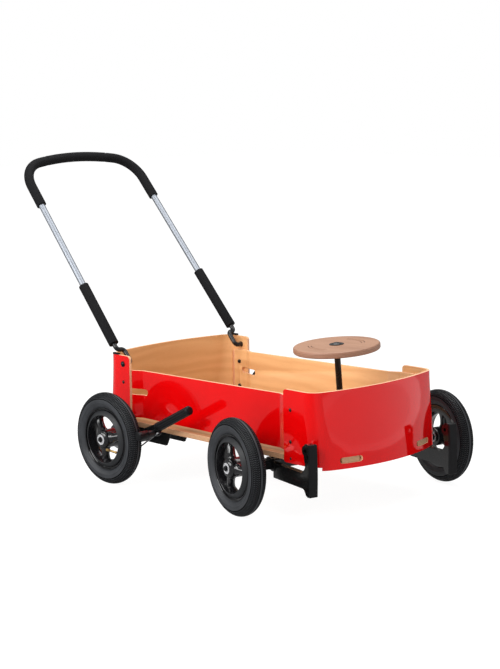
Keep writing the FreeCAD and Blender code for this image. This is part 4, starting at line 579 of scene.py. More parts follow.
def wood(name, grain, shades, figure, pores, roughness):
    """Clear lacquered veneer."""
    material, tree, shader = new_material(name, Coat_Weight=0.15, Coat_Roughness=0.35)
    veneer = veneer_shades(tree, grain, shades, figure, pores)
    gloss = eased(tree, veneer["Tone"], 0.0, 1.0, roughness, roughness + 0.12)
    surface(tree, shader, veneer["Color"], gloss, veneer["Height"], 0.00012)
    return material


def edge_wood(name, count, shades):
    """Plywood's cut edge; the piece's ply_depth attribute runs from 0 outside to 1 inside."""
    material, tree, shader = new_material(name)
    depth = node(tree, "Attribute", attribute_name="ply_depth").outputs["Fac"]
    layers = layer_shades(tree, depth, count, shades)
    surface(tree, shader, layers["Color"], eased(tree, layers["Height"], 0.3, 0.7, 0.45, 0.6),
            layers["Height"], 0.0001)
    return material


birch_inside = wood("birch veneer inside", (1.6, 1.6, 9.0),
                    ((0.84, 0.48, 0.215), (0.64, 0.30, 0.105)), 0.5, 0.7, 0.42)
ply_edge = edge_wood("plywood edge", 7.0, ((0.95, 0.56, 0.34), (0.58, 0.29, 0.14)))
lacquer = plain("red gloss lacquer", (0.64, 0.0006, 0.0012), 0.05, 0.07, 5.0, 120.0, 0.00003,
                Coat_Weight=0.7, Coat_Roughness=0.03, Coat_IOR=1.5, IOR=1.9,
                Specular_Tint=(1, 0.05, 0.06, 1))
print("sheet materials", birch_inside.name, ply_edge.name, lacquer.name)

# %% [markdown]
# The floor board and the steering wheel are thick boards whose exact solids
# stay, so nothing in their mesh tells a face from an edge. The material tells
# them apart by where the surface looks: veneer on the two flat faces, layers
# round the edge. The floors of the lines cut into the wheel get painted shade.

# %% Board wood
BOARD_GRAIN = (1.6, 9.0, 9.0)
# The next colour is painted shade, a near-black brown, for the floors of the wheel's grooves.
ENGRAVING_SHADE = (0.035, 0.016, 0.010)
FLOOR_TOP, FLOOR_T = 0.195, 0.018
WHEEL_AT, WHEEL_T = Vector((0.5309, -0.016, 0.493)), 0.020
COLUMN_RAKE, COLUMN_LEAN = math.radians(1.7), math.radians(3.4)
COLUMN_DIR = Vector((-math.sin(COLUMN_RAKE), -math.cos(COLUMN_RAKE) * math.sin(COLUMN_LEAN),
                     math.cos(COLUMN_RAKE) * math.cos(COLUMN_LEAN)))


def board_wood(name, up, foot, thickness, face, edge, shaded_grooves=False):
    """A board with veneer on its two flat faces and layers on its edges."""
    material, tree, shader = new_material(name, Coat_Weight=0.1, Coat_Roughness=0.35)
    depth = eased(tree, toward(tree, object_place(tree), up), foot, foot + thickness)
    veneer = veneer_shades(tree, BOARD_GRAIN, face, 0.7, 0.6)
    layers = layer_shades(tree, depth, 9.0, edge)
    facing = toward(tree, node(tree, "TexCoord").outputs["Normal"], up)
    flat = eased(tree, maths(tree, "ABSOLUTE", facing), 0.8, 0.95)
    skin = veneer["Color"]
    if shaded_grooves:
        # Painted shade: faces that look up from below the wheel's top, the grooves' floors, turn
        # near-black brown.
        shaded_hollow = maths(tree, "MULTIPLY", eased(tree, depth, 0.99, 0.96),
                     eased(tree, facing, 0.8, 0.95))
        skin = mixed(tree, shaded_hollow, skin, (*ENGRAVING_SHADE, 1))
    surface(tree, shader, mixed(tree, flat, layers["Color"], skin),
            eased(tree, veneer["Tone"], 0.0, 1.0, 0.42, 0.55), veneer["Height"], 0.0001)
    return material


floor_wood = board_wood("floor board birch", (0, 0, 1), FLOOR_TOP - FLOOR_T, FLOOR_T,
                        ((0.50, 0.27, 0.13), (0.34, 0.16, 0.07)),
                        ((0.56, 0.31, 0.17), (0.26, 0.12, 0.05)))
wheel_wood = board_wood("steering wheel birch", COLUMN_DIR,
                        WHEEL_AT.dot(COLUMN_DIR) - WHEEL_T / 2, WHEEL_T,
                        ((0.40, 0.21, 0.125), (0.24, 0.11, 0.06)),
                        ((0.36, 0.175, 0.105), (0.22, 0.10, 0.055)), shaded_grooves=True)
print("board materials", floor_wood.name, wheel_wood.name)

# %% [markdown]
# The tub's ends are single sheets of plywood bent in a press: flat wings,
# tight corners and a slightly bowed end, leaning out towards the foot. A
# sheet is drawn once at the height of its top and once at its foot, as a
# point that is pushed along the straights and spun round the bends. Bridging
# the two lines gives the leaning sheet exactly; a lofted or sculpted surface
# would only come near it. Solidify then gives it its thickness.

# %% Plan of the tub
REAR_AXLE = -163.0
PLY, HALF_W = 9.0, 281.0
WALL_TOP, WALL_FOOT = 423.5, 150.0
LEAN_TOP, LEAN_FOOT = 400.0, 160.0
FRONT_APEX, REAR_APEX, RAKE = 885.0, -173.0, 36.0
FRONT_WING, REAR_WING = 717.0, -24.0
FRONT_TOP, REAR_TOP = 400.0, 413.5
BOW_R, BOW_R_CHANGE = 940.0, -300.0         # of the end's bow, at the top and down to the foot
BEND_R, BEND_R_CHANGE = 48.0, 22.0          # of the bend from the end to a wing, the same way
BOW_STEPS, BEND_STEPS = 36, 14


def at(station, y, z):
    """Point from millimetres ahead of the rear axle, to the left and up."""
    return Vector((REAR_AXLE + station, y, z)) * MM


def start_line(name, place):
    """A new object that is one selected point, in edit mode."""
    clear_selection()
    bpy.ops.mesh.primitive_plane_add(size=MM, location=place)
    piece = settle(added(name))
    pick_all(piece)
    bpy.ops.mesh.merge(type="CENTER")
    bpy.ops.mesh.select_all(action="SELECT")
    return piece


def run(step):
    """Push the selected points along a straight."""
    bpy.ops.mesh.extrude_region_move(TRANSFORM_OT_translate={"value": step})


def bend(centre, degrees, steps, axis=(0, 0, 1)):
    """Spin the selected points round a centre, anticlockwise about the axis."""
    bpy.ops.mesh.spin(steps=steps, angle=-math.radians(degrees), center=centre, axis=axis)


def end_line(name, z, forward):
    """Half-round outline of one end of the tub at a height, from wing to wing."""
    share = (LEAN_TOP - z) / (LEAN_TOP - LEAN_FOOT)
    apex = (FRONT_APEX if forward > 0 else REAR_APEX) + forward * RAKE * share
    bow_r = BOW_R + BOW_R_CHANGE * share
    bend_r = BEND_R + BEND_R_CHANGE * share
    bend_y = HALF_W - bend_r
    bow_x = apex - forward * bow_r
    reach = math.sqrt((bow_r - bend_r) ** 2 - bend_y ** 2)
    bend_x = bow_x + forward * reach
    turn = math.degrees(math.atan2(reach, bend_y))
    wing = FRONT_WING if forward > 0 else REAR_WING
    half_wing = (bend_x - wing) / 2 * MM
    line = start_line(name, at(wing, -HALF_W, z))
    run((half_wing, 0, 0))
    run((half_wing, 0, 0))
    bend(at(bend_x, -bend_y, z), forward * turn, BEND_STEPS)
    bend(at(bow_x, 0, z), forward * 2 * (90 - turn), BOW_STEPS)
    bend(at(bend_x, bend_y, z), forward * turn, BEND_STEPS)
    run((-half_wing, 0, 0))
    run((-half_wing, 0, 0))
    return done(line)


print("front end at its top:", len(end_line("trial", FRONT_TOP, 1).data.vertices), "points")
bpy.data.objects.remove(bpy.data.objects["trial"])

# %% [markdown]
# A cut edge of plywood is the part of it that people recognise, so each sheet
# needs to know how deep every point lies in its thickness. The outer skin is
# kept aside as a ruler: after all cutting and rounding, each point's distance
# to it is written into the mesh as `ply_depth`. The same number then says
# which faces were lacquered: the outer skin only, because the sheets are
# sprayed flat and trimmed afterwards.

# %% Cutting and finishing a sheet
from mathutils.bvhtree import BVHTree

BOLT_R = 3.1
ARRIS = 0.7                                 # rounding of the cut edges
NEAR_SKIN = 0.06                            # share of the thickness that counts as on the skin
THROUGH_X = (0, math.pi / 2, 0)             # turns of a drill that goes through along X or Y
THROUGH_Y = (math.pi / 2, 0, 0)


def drill(name, place, radius, through, turn, corners=24):
    """A round cutter."""
    clear_selection()
    bpy.ops.mesh.primitive_cylinder_add(vertices=corners, radius=radius, depth=through,
                                        location=place, rotation=turn)
    return settle(added(name))


def slot_cutter(centre, length, height, through, turn):
    """A drill drawn out to a slot with round ends, level with the floor."""
    cutter = drill("slot", centre, height / 2, through, turn, 28)
    slide = Vector((0, 1, 0)) if turn == THROUGH_X else Vector((1, 0, 0))
    for side in (-1, 1):
        work(cutter, "VERT", lambda p: side * (p - centre).dot(slide) > 1e-6,
             (bpy.ops.transform.translate, {"value": slide * side * (length - height) / 2}))
    return cutter


def bolt_cutter(places, through):
    """One cutter for all bolt holes of a sheet."""
    return joined([drill(f"bolt_{i}", place, BOLT_R * MM, through, THROUGH_Y)
                   for i, place in enumerate(places)], "bolts")


def carve(piece, cutter, operation="DIFFERENCE"):
    """Cut a piece with another, which is then gone."""
    modify(piece, "BOOLEAN", object=cutter, operation=operation, solver="EXACT")
    bpy.data.objects.remove(cutter)
    return piece


def skin_ruler(skin):
    """Search tree of a sheet's outer skin."""
    mesh = skin.data
    return BVHTree.FromPolygons([v.co.copy() for v in mesh.vertices],
                                [tuple(f.vertices) for f in mesh.polygons])


def dress_sheet(piece, ruler):
    """Round a cut sheet's edges, write ply_depth and paint skin, inner face and cut edge."""
    face_out(piece)
    rounded(piece, ARRIS, 2)
    mesh = painted(piece, lacquer, birch_inside, ply_edge).data
    depth = mesh.attributes.new("ply_depth", "FLOAT", "POINT")
    values = [ruler.find_nearest(v.co)[3] / (PLY * MM) for v in mesh.vertices]
    depth.data.foreach_set("value", values)
    for face in mesh.polygons:
        depths = [values[i] for i in face.vertices]
        on_skin, on_inside = max(depths) < NEAR_SKIN, min(depths) > 1 - NEAR_SKIN
        face.material_index = 0 if on_skin else 1 if on_inside else 2
    counts = [sum(f.material_index == i for f in mesh.polygons) for i in range(3)]
    print(piece.name, "skin, inside, edge faces:", counts)
    return even_shading(piece)


# %% End panels
WING_FOOT, APRON_FOOT, APRON_STEP = 170.0, 160.0, 24.0
WING_CORNER, CORNER_STEPS = 11.0, 8
SLOT_W, SLOT_H, SLOT_Y, SLOT_Z = 80.0, 19.0, 166.0, 186.0
FRONT_BOLTS, REAR_BOLTS = (747.0, (337.0, 237.0)), (-57.5, (322.0, 233.0, 384.3))
TRIM_PAST_END, TRIM_PAST_SIDE = 60.0, 20.0
SLOT_THROUGH, WINGS_THROUGH, SIDE_THROUGH = 0.2, 0.7, 0.1       # lengths of the cutters, in metres
BRIDGE_CUTS = 5


def round_corner(piece, test):
    """Round a sheet's corners, at the edges that pass a test."""
    work(piece, "EDGE", test,
         (bpy.ops.mesh.bevel, {"offset": WING_CORNER * MM, "segments": CORNER_STEPS}))


def thickened(skin):
    """Give an outer skin the sheet's thickness, inwards."""
    return modify(skin, "SOLIDIFY", thickness=PLY * MM, offset=-1, use_even_offset=True)


def end_trim(forward):
    """Side view of an end panel with its deeper apron, as a cutter."""
    front, rear = (FRONT_WING, FRONT_APEX, FRONT_TOP), (REAR_WING, REAR_APEX, REAR_TOP)
    wing, apex, top = front if forward > 0 else rear
    step = apex - forward * APRON_STEP
    far = apex + forward * (RAKE + TRIM_PAST_END)
    wide = HALF_W + TRIM_PAST_SIDE
    trim = start_line("trim", at(wing, -wide, top))
    run((0, 0, (WING_FOOT - top) * MM))
    run(((step - wing) * MM, 0, 0))
    run((0, 0, (APRON_FOOT - WING_FOOT) * MM))
    run(((far - step) * MM, 0, 0))
    run((0, 0, (top - APRON_FOOT) * MM))
    bpy.ops.mesh.select_all(action="SELECT")
    bpy.ops.mesh.edge_face_add()
    bpy.ops.mesh.extrude_region_move(TRANSFORM_OT_translate={"value": (0, 2 * wide * MM, 0)})
    done(trim)
    face_out(trim)
    for z in (top, WING_FOOT):
        corner = at(wing, 0, z)
        round_corner(trim, lambda m, d: abs(d.y) > 0.1 and (m - corner).length < MM)
    return trim


def end_panel(name, forward):
    """One end of the tub, cut, rounded and dressed."""
    top = end_line(name, WALL_TOP, forward)
    foot = end_line("foot", WALL_FOOT, forward)
    sheet = joined([top, foot], name)
    pick_all(sheet)
    bpy.ops.mesh.bridge_edge_loops(number_cuts=BRIDGE_CUTS)
    bpy.ops.mesh.select_all(action="SELECT")
    bpy.ops.mesh.normals_make_consistent(inside=False)
    done(sheet)
    middle = max(sheet.data.polygons, key=lambda f: forward * f.center.x)
    if middle.normal.x * forward < 0:
        sheet.data.flip_normals()
    ruler = skin_ruler(sheet)
    carve(thickened(sheet), end_trim(forward), "INTERSECT")
    apex = FRONT_APEX if forward > 0 else REAR_APEX
    for side in (-1, 1):
        carve(sheet, slot_cutter(at(apex, side * SLOT_Y, SLOT_Z), SLOT_W * MM, SLOT_H * MM,
                                 SLOT_THROUGH, THROUGH_X))
    bolt_x, heights = FRONT_BOLTS if forward > 0 else REAR_BOLTS
    carve(sheet, bolt_cutter([at(bolt_x, 0, z) for z in heights], WINGS_THROUGH))
    return dress_sheet(sheet, ruler)


for end, forward in (("front", 1), ("rear", -1)):
    finished(end_panel(end + "_sheet", forward), "wagon_tub",
             replaces=[end + "_panel"])

# %% [markdown]
# A side panel is flat, with a small step near each end that brings its ends
# inside the wings. Its plan is again a pushed and bent line, raised to its
# full height; its top runs slightly uphill to the front, so the sheet is
# bisected there and the corners are rounded.

# %% Side panels
SIDE_OUT, WING_IN = 256.0, 272.0
SIDE_FOOT, SIDE_REAR_TOP, SIDE_FRONT_TOP, SIDE_LAP = 204.0, 365.5, 377.5, 70.0
SIDE_SPARE = 5.0                            # raised this much too high, then bisected
STEP_L, STEP_R, STEP_GAP, STEP_BENDS = 36.0, 18.0, 4.0, 6
HAND_SLOT_X, HAND_SLOT_Z, HAND_SLOT_H = (-45.0, 40.0), 293.0, 21.0


def side_skin(name):
    """Outer skin of the right side panel, with its two steps."""
    slope = math.atan2(WING_IN - SIDE_OUT, STEP_L)
    tangent = STEP_R * math.tan(slope / 2)
    wide_tangent = (STEP_R + PLY) * math.tan(slope / 2)
    degrees = math.degrees(slope)
    ramp = math.hypot(STEP_L, WING_IN - SIDE_OUT) - tangent - wide_tangent
    ramp_step = Vector((math.cos(slope), math.sin(slope), 0)) * ramp * MM
    rear, front = REAR_WING, FRONT_WING
    y0, y1, z = -WING_IN, -SIDE_OUT, SIDE_FOOT
    lap = SIDE_LAP + STEP_GAP - wide_tangent
    flat = front - rear - 2 * (STEP_GAP + STEP_L + tangent)
    skin = start_line(name, at(rear - SIDE_LAP, y0, z))
    run((lap * MM, 0, 0))
    bend(at(rear + STEP_GAP - wide_tangent, y0 + STEP_R + PLY, z), degrees, STEP_BENDS)
    run(ramp_step)
    bend(at(rear + STEP_GAP + STEP_L + tangent, y1 - STEP_R, z), -degrees, STEP_BENDS)
    run((flat * MM, 0, 0))
    bend(at(front - STEP_GAP - STEP_L - tangent, y1 - STEP_R, z), -degrees, STEP_BENDS)
    run(Vector((ramp_step.x, -ramp_step.y, 0)))
    bend(at(front - STEP_GAP + wide_tangent, y0 + STEP_R + PLY, z), degrees, STEP_BENDS)
    run((lap * MM, 0, 0))
    bpy.ops.mesh.select_all(action="SELECT")
    run((0, 0, (SIDE_FRONT_TOP + SIDE_SPARE - SIDE_FOOT) * MM))
    done(skin)
    if sum(f.normal.y for f in skin.data.polygons) > 0:
        skin.data.flip_normals()
    return skin


def side_panel(name):
    """The right side panel, cut, rounded and dressed."""
    sheet = side_skin(name)
    ruler = skin_ruler(sheet)
    thickened(sheet)
    rise = (SIDE_FRONT_TOP - SIDE_REAR_TOP) / (FRONT_WING - REAR_WING)
    pick_all(sheet)
    bpy.ops.mesh.bisect(plane_co=at(REAR_WING, 0, SIDE_REAR_TOP), plane_no=(-rise, 0, 1),
                        use_fill=True, clear_outer=True)
    done(sheet)
    for x in (REAR_WING - SIDE_LAP, FRONT_WING + SIDE_LAP):
        end = at(x, 0, 0).x
        round_corner(sheet, lambda m, d: abs(d.y) > PLY / 2 * MM and abs(m.x - end) < MM / 2)
    back, front = HAND_SLOT_X
    carve(sheet, slot_cutter(at((back + front) / 2, -SIDE_OUT, HAND_SLOT_Z), (front - back) * MM,
                             HAND_SLOT_H * MM, SIDE_THROUGH, THROUGH_Y))
    holes = [at(x, -SIDE_OUT, z) for x, heights in (FRONT_BOLTS, REAR_BOLTS)
             for z in heights[:2]]
    carve(sheet, bolt_cutter(holes, SIDE_THROUGH))
    return dress_sheet(sheet, ruler)


right_sheet = side_panel("side_sheet_right")
left_sheet = move_mesh(copy_of(right_sheet, "side_sheet_left"), MIRROR_Y)
for side, sheet in (("right", right_sheet), ("left", left_sheet)):
    finished(sheet, "wagon_tub", replaces=["side_panel_" + side])

# %% [markdown]
# A pneumatic tyre's tread is rows of small blocks either side of a plain
# rib. They would be hopeless to place on a ring by hand, so the tread starts
# as a flat strip: one pitch of it is drawn, its blocks are inset and raised,
# and an array repeats it. Two bends then make the tyre, one across the strip
# for the round section and one along it for the hoop. The side walls and the
# hollow inside are the strip's edges, extruded and drawn in to the rim.

# %% One pitch of tread
TYRE_R, TYRE_HALF_W = 155.0, 26.5
PITCHES = 140
PITCH = 2 * math.pi * TYRE_R / PITCHES
TREAD_DEPTH, GROOVE = 2.6, 1.45
RIB, ROW_W, ROW_GAP, ROWS = 3.6, 6.6, 1.2, 4
SHOULDER, WALL_ROWS = 1.6, 3


def across_places():
    """Half the strip's face edges from the middle out, and how many belong to the tread."""
    places = [0.0, RIB]
    for _ in range(ROWS):
        places += [places[-1] + ROW_GAP, places[-1] + ROW_GAP + ROW_W]
    tread = len(places)
    first, last = places[-1] + SHOULDER, math.pi / 2 * TYRE_HALF_W
    places += [first + (last - first) * i / WALL_ROWS for i in range(WALL_ROWS + 1)]
    return places, tread


def tread_pitch(name):
    """One pitch of tread, flat: along X, across Z, its outside facing +Y."""
    half, tread = across_places()
    middle = len(half) - 1
    clear_selection()
    bpy.ops.mesh.primitive_grid_add(x_subdivisions=1, y_subdivisions=2 * middle, size=1,
                                    rotation=(-math.pi / 2, 0, 0))
    strip = settle(added(name))
    rows = sorted({round(v.co.z, 6) for v in strip.data.vertices})
    for v in strip.data.vertices:
        i = rows.index(round(v.co.z, 6)) - middle
        lean = PITCH / 4 * (1 if (abs(i) + 1) // 2 % 2 else -1)
        height = TREAD_DEPTH if abs(i) >= tread else 0
        v.co = Vector((v.co.x * PITCH + lean, height, math.copysign(half[abs(i)], i))) * MM
    if strip.data.polygons[0].normal.y < 0:
        strip.data.flip_normals()
    return strip


def raise_blocks(strip):
    """Inset and raise the blocks and the plain rib of one pitch."""
    lift = (bpy.ops.mesh.extrude_region_move,
            {"TRANSFORM_OT_translate": {"value": (0, TREAD_DEPTH * MM, 0)}})
    rows = [(RIB + ROW_GAP + ROW_W / 2 + i * (ROW_GAP + ROW_W)) * MM for i in range(ROWS)]
    work(strip, "FACE", lambda c, n: any(abs(abs(c.z) - row) < ROW_GAP * MM for row in rows),
         (bpy.ops.mesh.inset, {"thickness": GROOVE * MM, "use_individual": True}), lift)
    work(strip, "FACE", lambda c, n: abs(c.z) < RIB * MM, lift)
    return work(strip, "FACE", lambda c, n: abs(n.x) > 0.7 and abs(c.z) < RIB * MM,
                (bpy.ops.mesh.delete, {"type": "FACE"}))


pitch = raise_blocks(tread_pitch("tread_pitch"))
print("one pitch", round(PITCH, 2), "mm,", len(pitch.data.polygons), "faces")

# %% Tyre
# Below a share of the tread depth the grooves turn dark with painted shade.
TREAD_TO, GROOVE_SHADE_SHARE = 26.2, 0.3          # the grooves' reach sideways, and where they turn dark
SIDE_RINGS = [(123.4, 26.1), (122.8, 26.6), (121.6, 26.6), (121.0, 25.9), (116.4, 24.9),
              (110.5, 21.8), (106.6, 18.0), (105.4, 15.5), (104.0, 15.5), (104.0, 11.0),
              (114.0, 18.4), (128.5, 21.5), (143.0, 15.6), (149.5, 4.0)]


def select_open_edges(piece):
    """Select the open edges of a mesh, in edit mode."""
    pick_all(piece)
    bpy.ops.mesh.select_all(action="DESELECT")
    bpy.ops.mesh.select_non_manifold(extend=False, use_wire=False, use_boundary=True,
                                     use_multi_face=False, use_non_contiguous=False,
                                     use_verts=False)


def draw_in(tyre, radius, across):
    """Extrude both open edges to a ring."""
    select_open_edges(tyre)
    bpy.ops.mesh.extrude_region_move()
    done(tyre)
    for v in tyre.data.vertices:
        if v.select:
            out = Vector((v.co.x, 0, v.co.z)).normalized() * radius
            v.co = Vector((out.x, math.copysign(across, v.co.y), out.z)) * MM


def make_tyre(name, strip):
    """A whole tyre on its own centre, its axle along Y."""
    length = PITCHES * PITCH * MM
    modify(strip, "ARRAY", count=PITCHES, use_relative_offset=False, use_constant_offset=True,
           constant_offset_displace=(PITCH * MM, 0, 0), use_merge_vertices=True,
           merge_threshold=MERGE)
    strip.data.transform(Matrix.Translation((0, -TREAD_DEPTH * MM, 0)))
    span = [max(v.co[i] for v in strip.data.vertices) - min(v.co[i] for v in strip.data.vertices)
            for i in (0, 2)]
    modify(strip, "SIMPLE_DEFORM", deform_method="BEND", deform_axis="X",
           angle=-span[1] / (TYRE_HALF_W * MM))
    modify(strip, "SIMPLE_DEFORM", deform_method="BEND", deform_axis="Z",
           angle=-2 * math.pi * span[0] / length)
    strip.data.transform(Matrix.Rotation(-math.pi / 2, 4, "X")
                         @ Matrix.Translation((0, TYRE_R * MM, 0)))
    strip.name = strip.data.name = name
    face_out(strip)
    for radius, across in SIDE_RINGS:
        draw_in(strip, radius, across)
    select_open_edges(strip)
    bpy.ops.mesh.bridge_edge_loops()
    done(strip)
    face_out(strip)
    core_r = TYRE_R - TYRE_HALF_W
    # Faces sunk in the tread's grooves get the darker groove rubber: painted shade in the hollows.
    for face in painted(strip, tyre_rubber, groove_shade_rubber).data.polygons:
        out = math.hypot(face.center.x, face.center.z) / MM - core_r
        across = abs(face.center.y) / MM
        shaded_hollow = math.hypot(out, across) < TYRE_HALF_W - GROOVE_SHADE_SHARE * TREAD_DEPTH
        face.material_index = int(shaded_hollow and out > 0 and across < TREAD_TO)
    return smooth(strip, 38)


tyre = make_tyre("tyre_model", pitch)
tops = [math.hypot(v.co.x, v.co.z) for v in tyre.data.vertices]
print("tyre radius", round(1000 * max(tops), 2), "mm,", len(tyre.data.polygons), "faces")

# %% [markdown]
# The rim is moulded in one piece: a channel that holds the tyre, three round
# spokes that swell where they meet the hub and the channel, and a hub. The
# channel and the hub are turned, so each is a section spun about the axle.
# The spokes are cones, subdivided and flared at both ends. A boolean union
# makes them one skin, as the mould does.

# %% Rim
CHANNEL = [(105.0, -19.0), (105.0, -15.5), (104.0, -15.5), (104.0, -9), (96.0, -6), (96.0, 6),
           (104.0, 9), (104.0, 15.5), (105.0, 15.5), (105.0, 18.2), (104.2, 19.0), (84.5, 19.0),
           (82.0, 18.4), (80.4, 16.4), (77.5, 11.5), (73.0, 5.0), (72.2, 2.4), (72.0, 0.0),
           (72.2, -2.4), (73.0, -6.0), (79.4, -22.5), (80.0, -25.4), (80.5, -26.5), (81.4, -27.0),
           (82.4, -26.8), (94.3, -17.6), (95.4, -16.2), (96.4, -13.0), (97.4, -12.0),
           (101.2, -12.0), (102.0, -12.7), (102.2, -18.4), (102.8, -19.0)]
HUB = [(17.5, -36.0), (20.4, -36.0), (21.6, -35.6), (24.6, -34.6), (27.4, -32.4), (29.4, -29.0),
       (30.6, -24.5), (31.0, -19.0), (31.0, 25.0), (30.3, 31.5), (28.8, 34.2), (26.5, 35.2),
       (21.2, 35.2), (20.5, 36.0), (17.5, 36.0), (17.5, 25.0), (12.5, 25.0), (12.5, -25.0),
       (17.5, -25.0)]
CHANNEL_STEPS, HUB_STEPS = 144, 72
SPOKE_TURNS, SPOKE_CUTS = (60, 180, 300), 15
SPOKE_FOOT, SPOKE_TIP = Vector((0, -12, 19)) * MM, Vector((0, 3.4, 85)) * MM
SPOKE_FOOT_R, SPOKE_TIP_R = 15.5, 11.5
VALVE_HOLE_R, VALVE_HOLE_L, VALVE_HOLE_Z = 3.5, 60.0, 90.0
BORE_R, BORE_HALF_L = 12.5, 40.0
MATTE_FROM, MATTE_TO, MATTE_OUT = 80.5, 95.5, 15.8      # ring of the rim's outer face left matte


def laid_from(place, direction):
    """Matrix that lays a piece modelled up +Y from a place in a direction."""
    turn = Vector((0, 1, 0)).rotation_difference(direction).to_matrix().to_4x4()
    return Matrix.Translation(place) @ turn


def turned(name, section, steps):
    """A closed section of (radius, across) points spun about the axle."""
    piece = start_line(name, Vector((*section[0], 0)) * MM)
    for (r0, y0), (r1, y1) in zip(section, section[1:]):
        run(((r1 - r0) * MM, (y1 - y0) * MM, 0))
    bpy.ops.mesh.select_all(action="SELECT")
    bpy.ops.mesh.edge_face_add()
    bpy.ops.mesh.delete(type="ONLY_FACE")
    bpy.ops.mesh.select_all(action="SELECT")
    bpy.ops.mesh.spin(steps=steps, angle=2 * math.pi, center=(0, 0, 0), axis=(0, 1, 0))
    done(piece)
    return face_out(piece)


def flare(share):
    """How much wider a spoke is than its cone, at a share of its length from the hub."""
    to_hub = max(0.0, 1 - max(0.0, share - 0.19) / 0.22)
    to_rim = max(0.0, share - 0.52) / 0.4
    return 0.32 * to_hub ** 2.5 + min(0.95, 0.85 * to_rim ** 2.2)


def spoke(name, turn):
    """A round spoke with flared ends, pointing up, then turned about the axle."""
    axis = SPOKE_TIP - SPOKE_FOOT
    clear_selection()
    bpy.ops.mesh.primitive_cone_add(vertices=40, radius1=SPOKE_FOOT_R * MM,
                                    radius2=SPOKE_TIP_R * MM, depth=axis.length,
                                    end_fill_type="NGON")
    piece = added(name)
    work(piece, "EDGE", lambda m, d: abs(d.z) > axis.length / 2,
         (bpy.ops.mesh.subdivide, {"number_cuts": SPOKE_CUTS}))
    for v in piece.data.vertices:
        wide = flare(v.co.z / axis.length + 0.5)
        v.co.x *= 1 + wide
        v.co.y *= 1 + wide / 4
    piece.location = (SPOKE_FOOT + SPOKE_TIP) / 2
    piece.rotation_euler = axis.to_track_quat("Z", "Y").to_euler()
    settle(piece)
    piece.data.transform(Matrix.Rotation(math.radians(turn), 4, "Y"))
    return piece


def make_rim(name):
    """The whole rim on its own centre, its outer side facing -Y, its valve at the top."""
    rim = turned(name, CHANNEL, CHANNEL_STEPS)
    carve(rim, turned("hub", HUB, HUB_STEPS), "UNION")
    for turn in SPOKE_TURNS:
        carve(rim, spoke("spoke", turn), "UNION")
    carve(rim, drill("valve_hole", (0, 0, VALVE_HOLE_Z * MM), VALVE_HOLE_R * MM,
                     VALVE_HOLE_L * MM, (0, 0, 0)))
    bore = [(0.5, -BORE_HALF_L), (BORE_R, -BORE_HALF_L), (BORE_R, BORE_HALF_L),
            (0.5, BORE_HALF_L)]
    carve(rim, turned("bore", bore, HUB_STEPS))
    face_out(rim)
    for face in painted(rim, rim_gloss, rim_matte).data.polygons:
        radius = math.hypot(face.center.x, face.center.z) / MM
        outer = face.center.y / MM < -MATTE_OUT
        face.material_index = int(outer and MATTE_FROM < radius < MATTE_TO)
    return smooth(rim, 36)


rim = make_rim("rim_model")
print("rim", len(rim.data.polygons), "faces")

# %% [markdown]
# The valve is a bent brass stem with a cap. It leaves the rim between two
# spokes and leans out towards a pump. Its thread is only rings here: at this
# size nobody can tell them from a helix.

# %% Valve
VALVE_BEND, VALVE_TIP = Vector((0, 0, 62.5)), Vector((0, -36, 40))
THREAD_FROM, THREAD_PITCH, THREAD_TURNS = 7.6, 1.1, 18


def make_valve(name):
    """Brass sleeve and cap round the leaning end of the valve stem."""
    section = [(3.02, 4.6), (4.9, 4.6), (4.9, 6.6), (3.9, 7.0)]
    for i in range(THREAD_TURNS):
        foot = THREAD_FROM + THREAD_PITCH * i
        section += [(3.95, foot), (3.45, foot + THREAD_PITCH / 2)]
    section += [(4.5, 28.4), (4.9, 29.2), (4.9, 37.0), (4.4, 41.6), (3.4, 42.6), (0.02, 42.8),
                (0.02, 42.3), (4.22, 42.3), (4.22, 30.2), (3.02, 30.2)]
    valve = turned(name, section, 28)
    lean = (VALVE_TIP - VALVE_BEND).normalized()
    return smooth(move_mesh(valve, laid_from(VALVE_BEND * MM, lean)), 40)


valve = make_valve("valve_model")
print("valve", [round(1000 * d, 1) for d in valve.dimensions], "mm")

# %% Four wheels
AXLE_Z, HALF_TRACK, WHEELBASE = 155.0, 396.5, 702.0
FRONT_TURN = math.radians(-12.8)
VALVE_AT = {"rear_right": -46.4, "front_right": 58.0, "rear_left": 100.0, "front_left": 20.0}
VALVE_INWARD = ("front_right",)


def wheel_place(name):
    """Matrix that carries a right-hand wheel's pieces to a named wheel."""
    side = -1 if name.endswith("right") else 1
    station, heading = (0, 0) if name.startswith("rear") else (WHEELBASE, FRONT_TURN)
    axle = Matrix.Translation(at(station, 0, AXLE_Z)) @ Matrix.Rotation(heading, 4, "Z")
    hub = Matrix.Translation(Vector((0, side * HALF_TRACK, 0)) * MM)
    mirror = Matrix.Scale(-side, 4, (0, 1, 0))
    clock = Matrix.Rotation(math.radians(90 - VALVE_AT[name]), 4, "Y")
    return axle @ hub @ mirror @ clock


for name in VALVE_AT:
    body, place = "wheel_" + name, wheel_place(name)
    finished(move_mesh(copy_of(tyre, "tyre_tread_" + name), place), body,
             replaces=["tyre_" + name])
    finished(move_mesh(copy_of(rim, "rim_moulding_" + name), place), body,
             replaces=["rim_" + name])
    stem = copy_of(valve, "valve_" + name)
    if name in VALVE_INWARD:
        move_mesh(stem, MIRROR_Y)
    finished(move_mesh(stem, place), body, brass)
for model in (tyre, rim, valve):
    bpy.data.objects.remove(model)

# %% [markdown]
# The handle wears foam tube: a sleeve on each leg, one long grip in the
# middle of the bar and one round each corner. Foam like this is cut from
# the roll and pushed on with air, so its ends are plain cuts with a soft
# edge. All of it follows one path, so the path is drawn once and each piece
# is a stretch of it, as a curve with a round bevel.

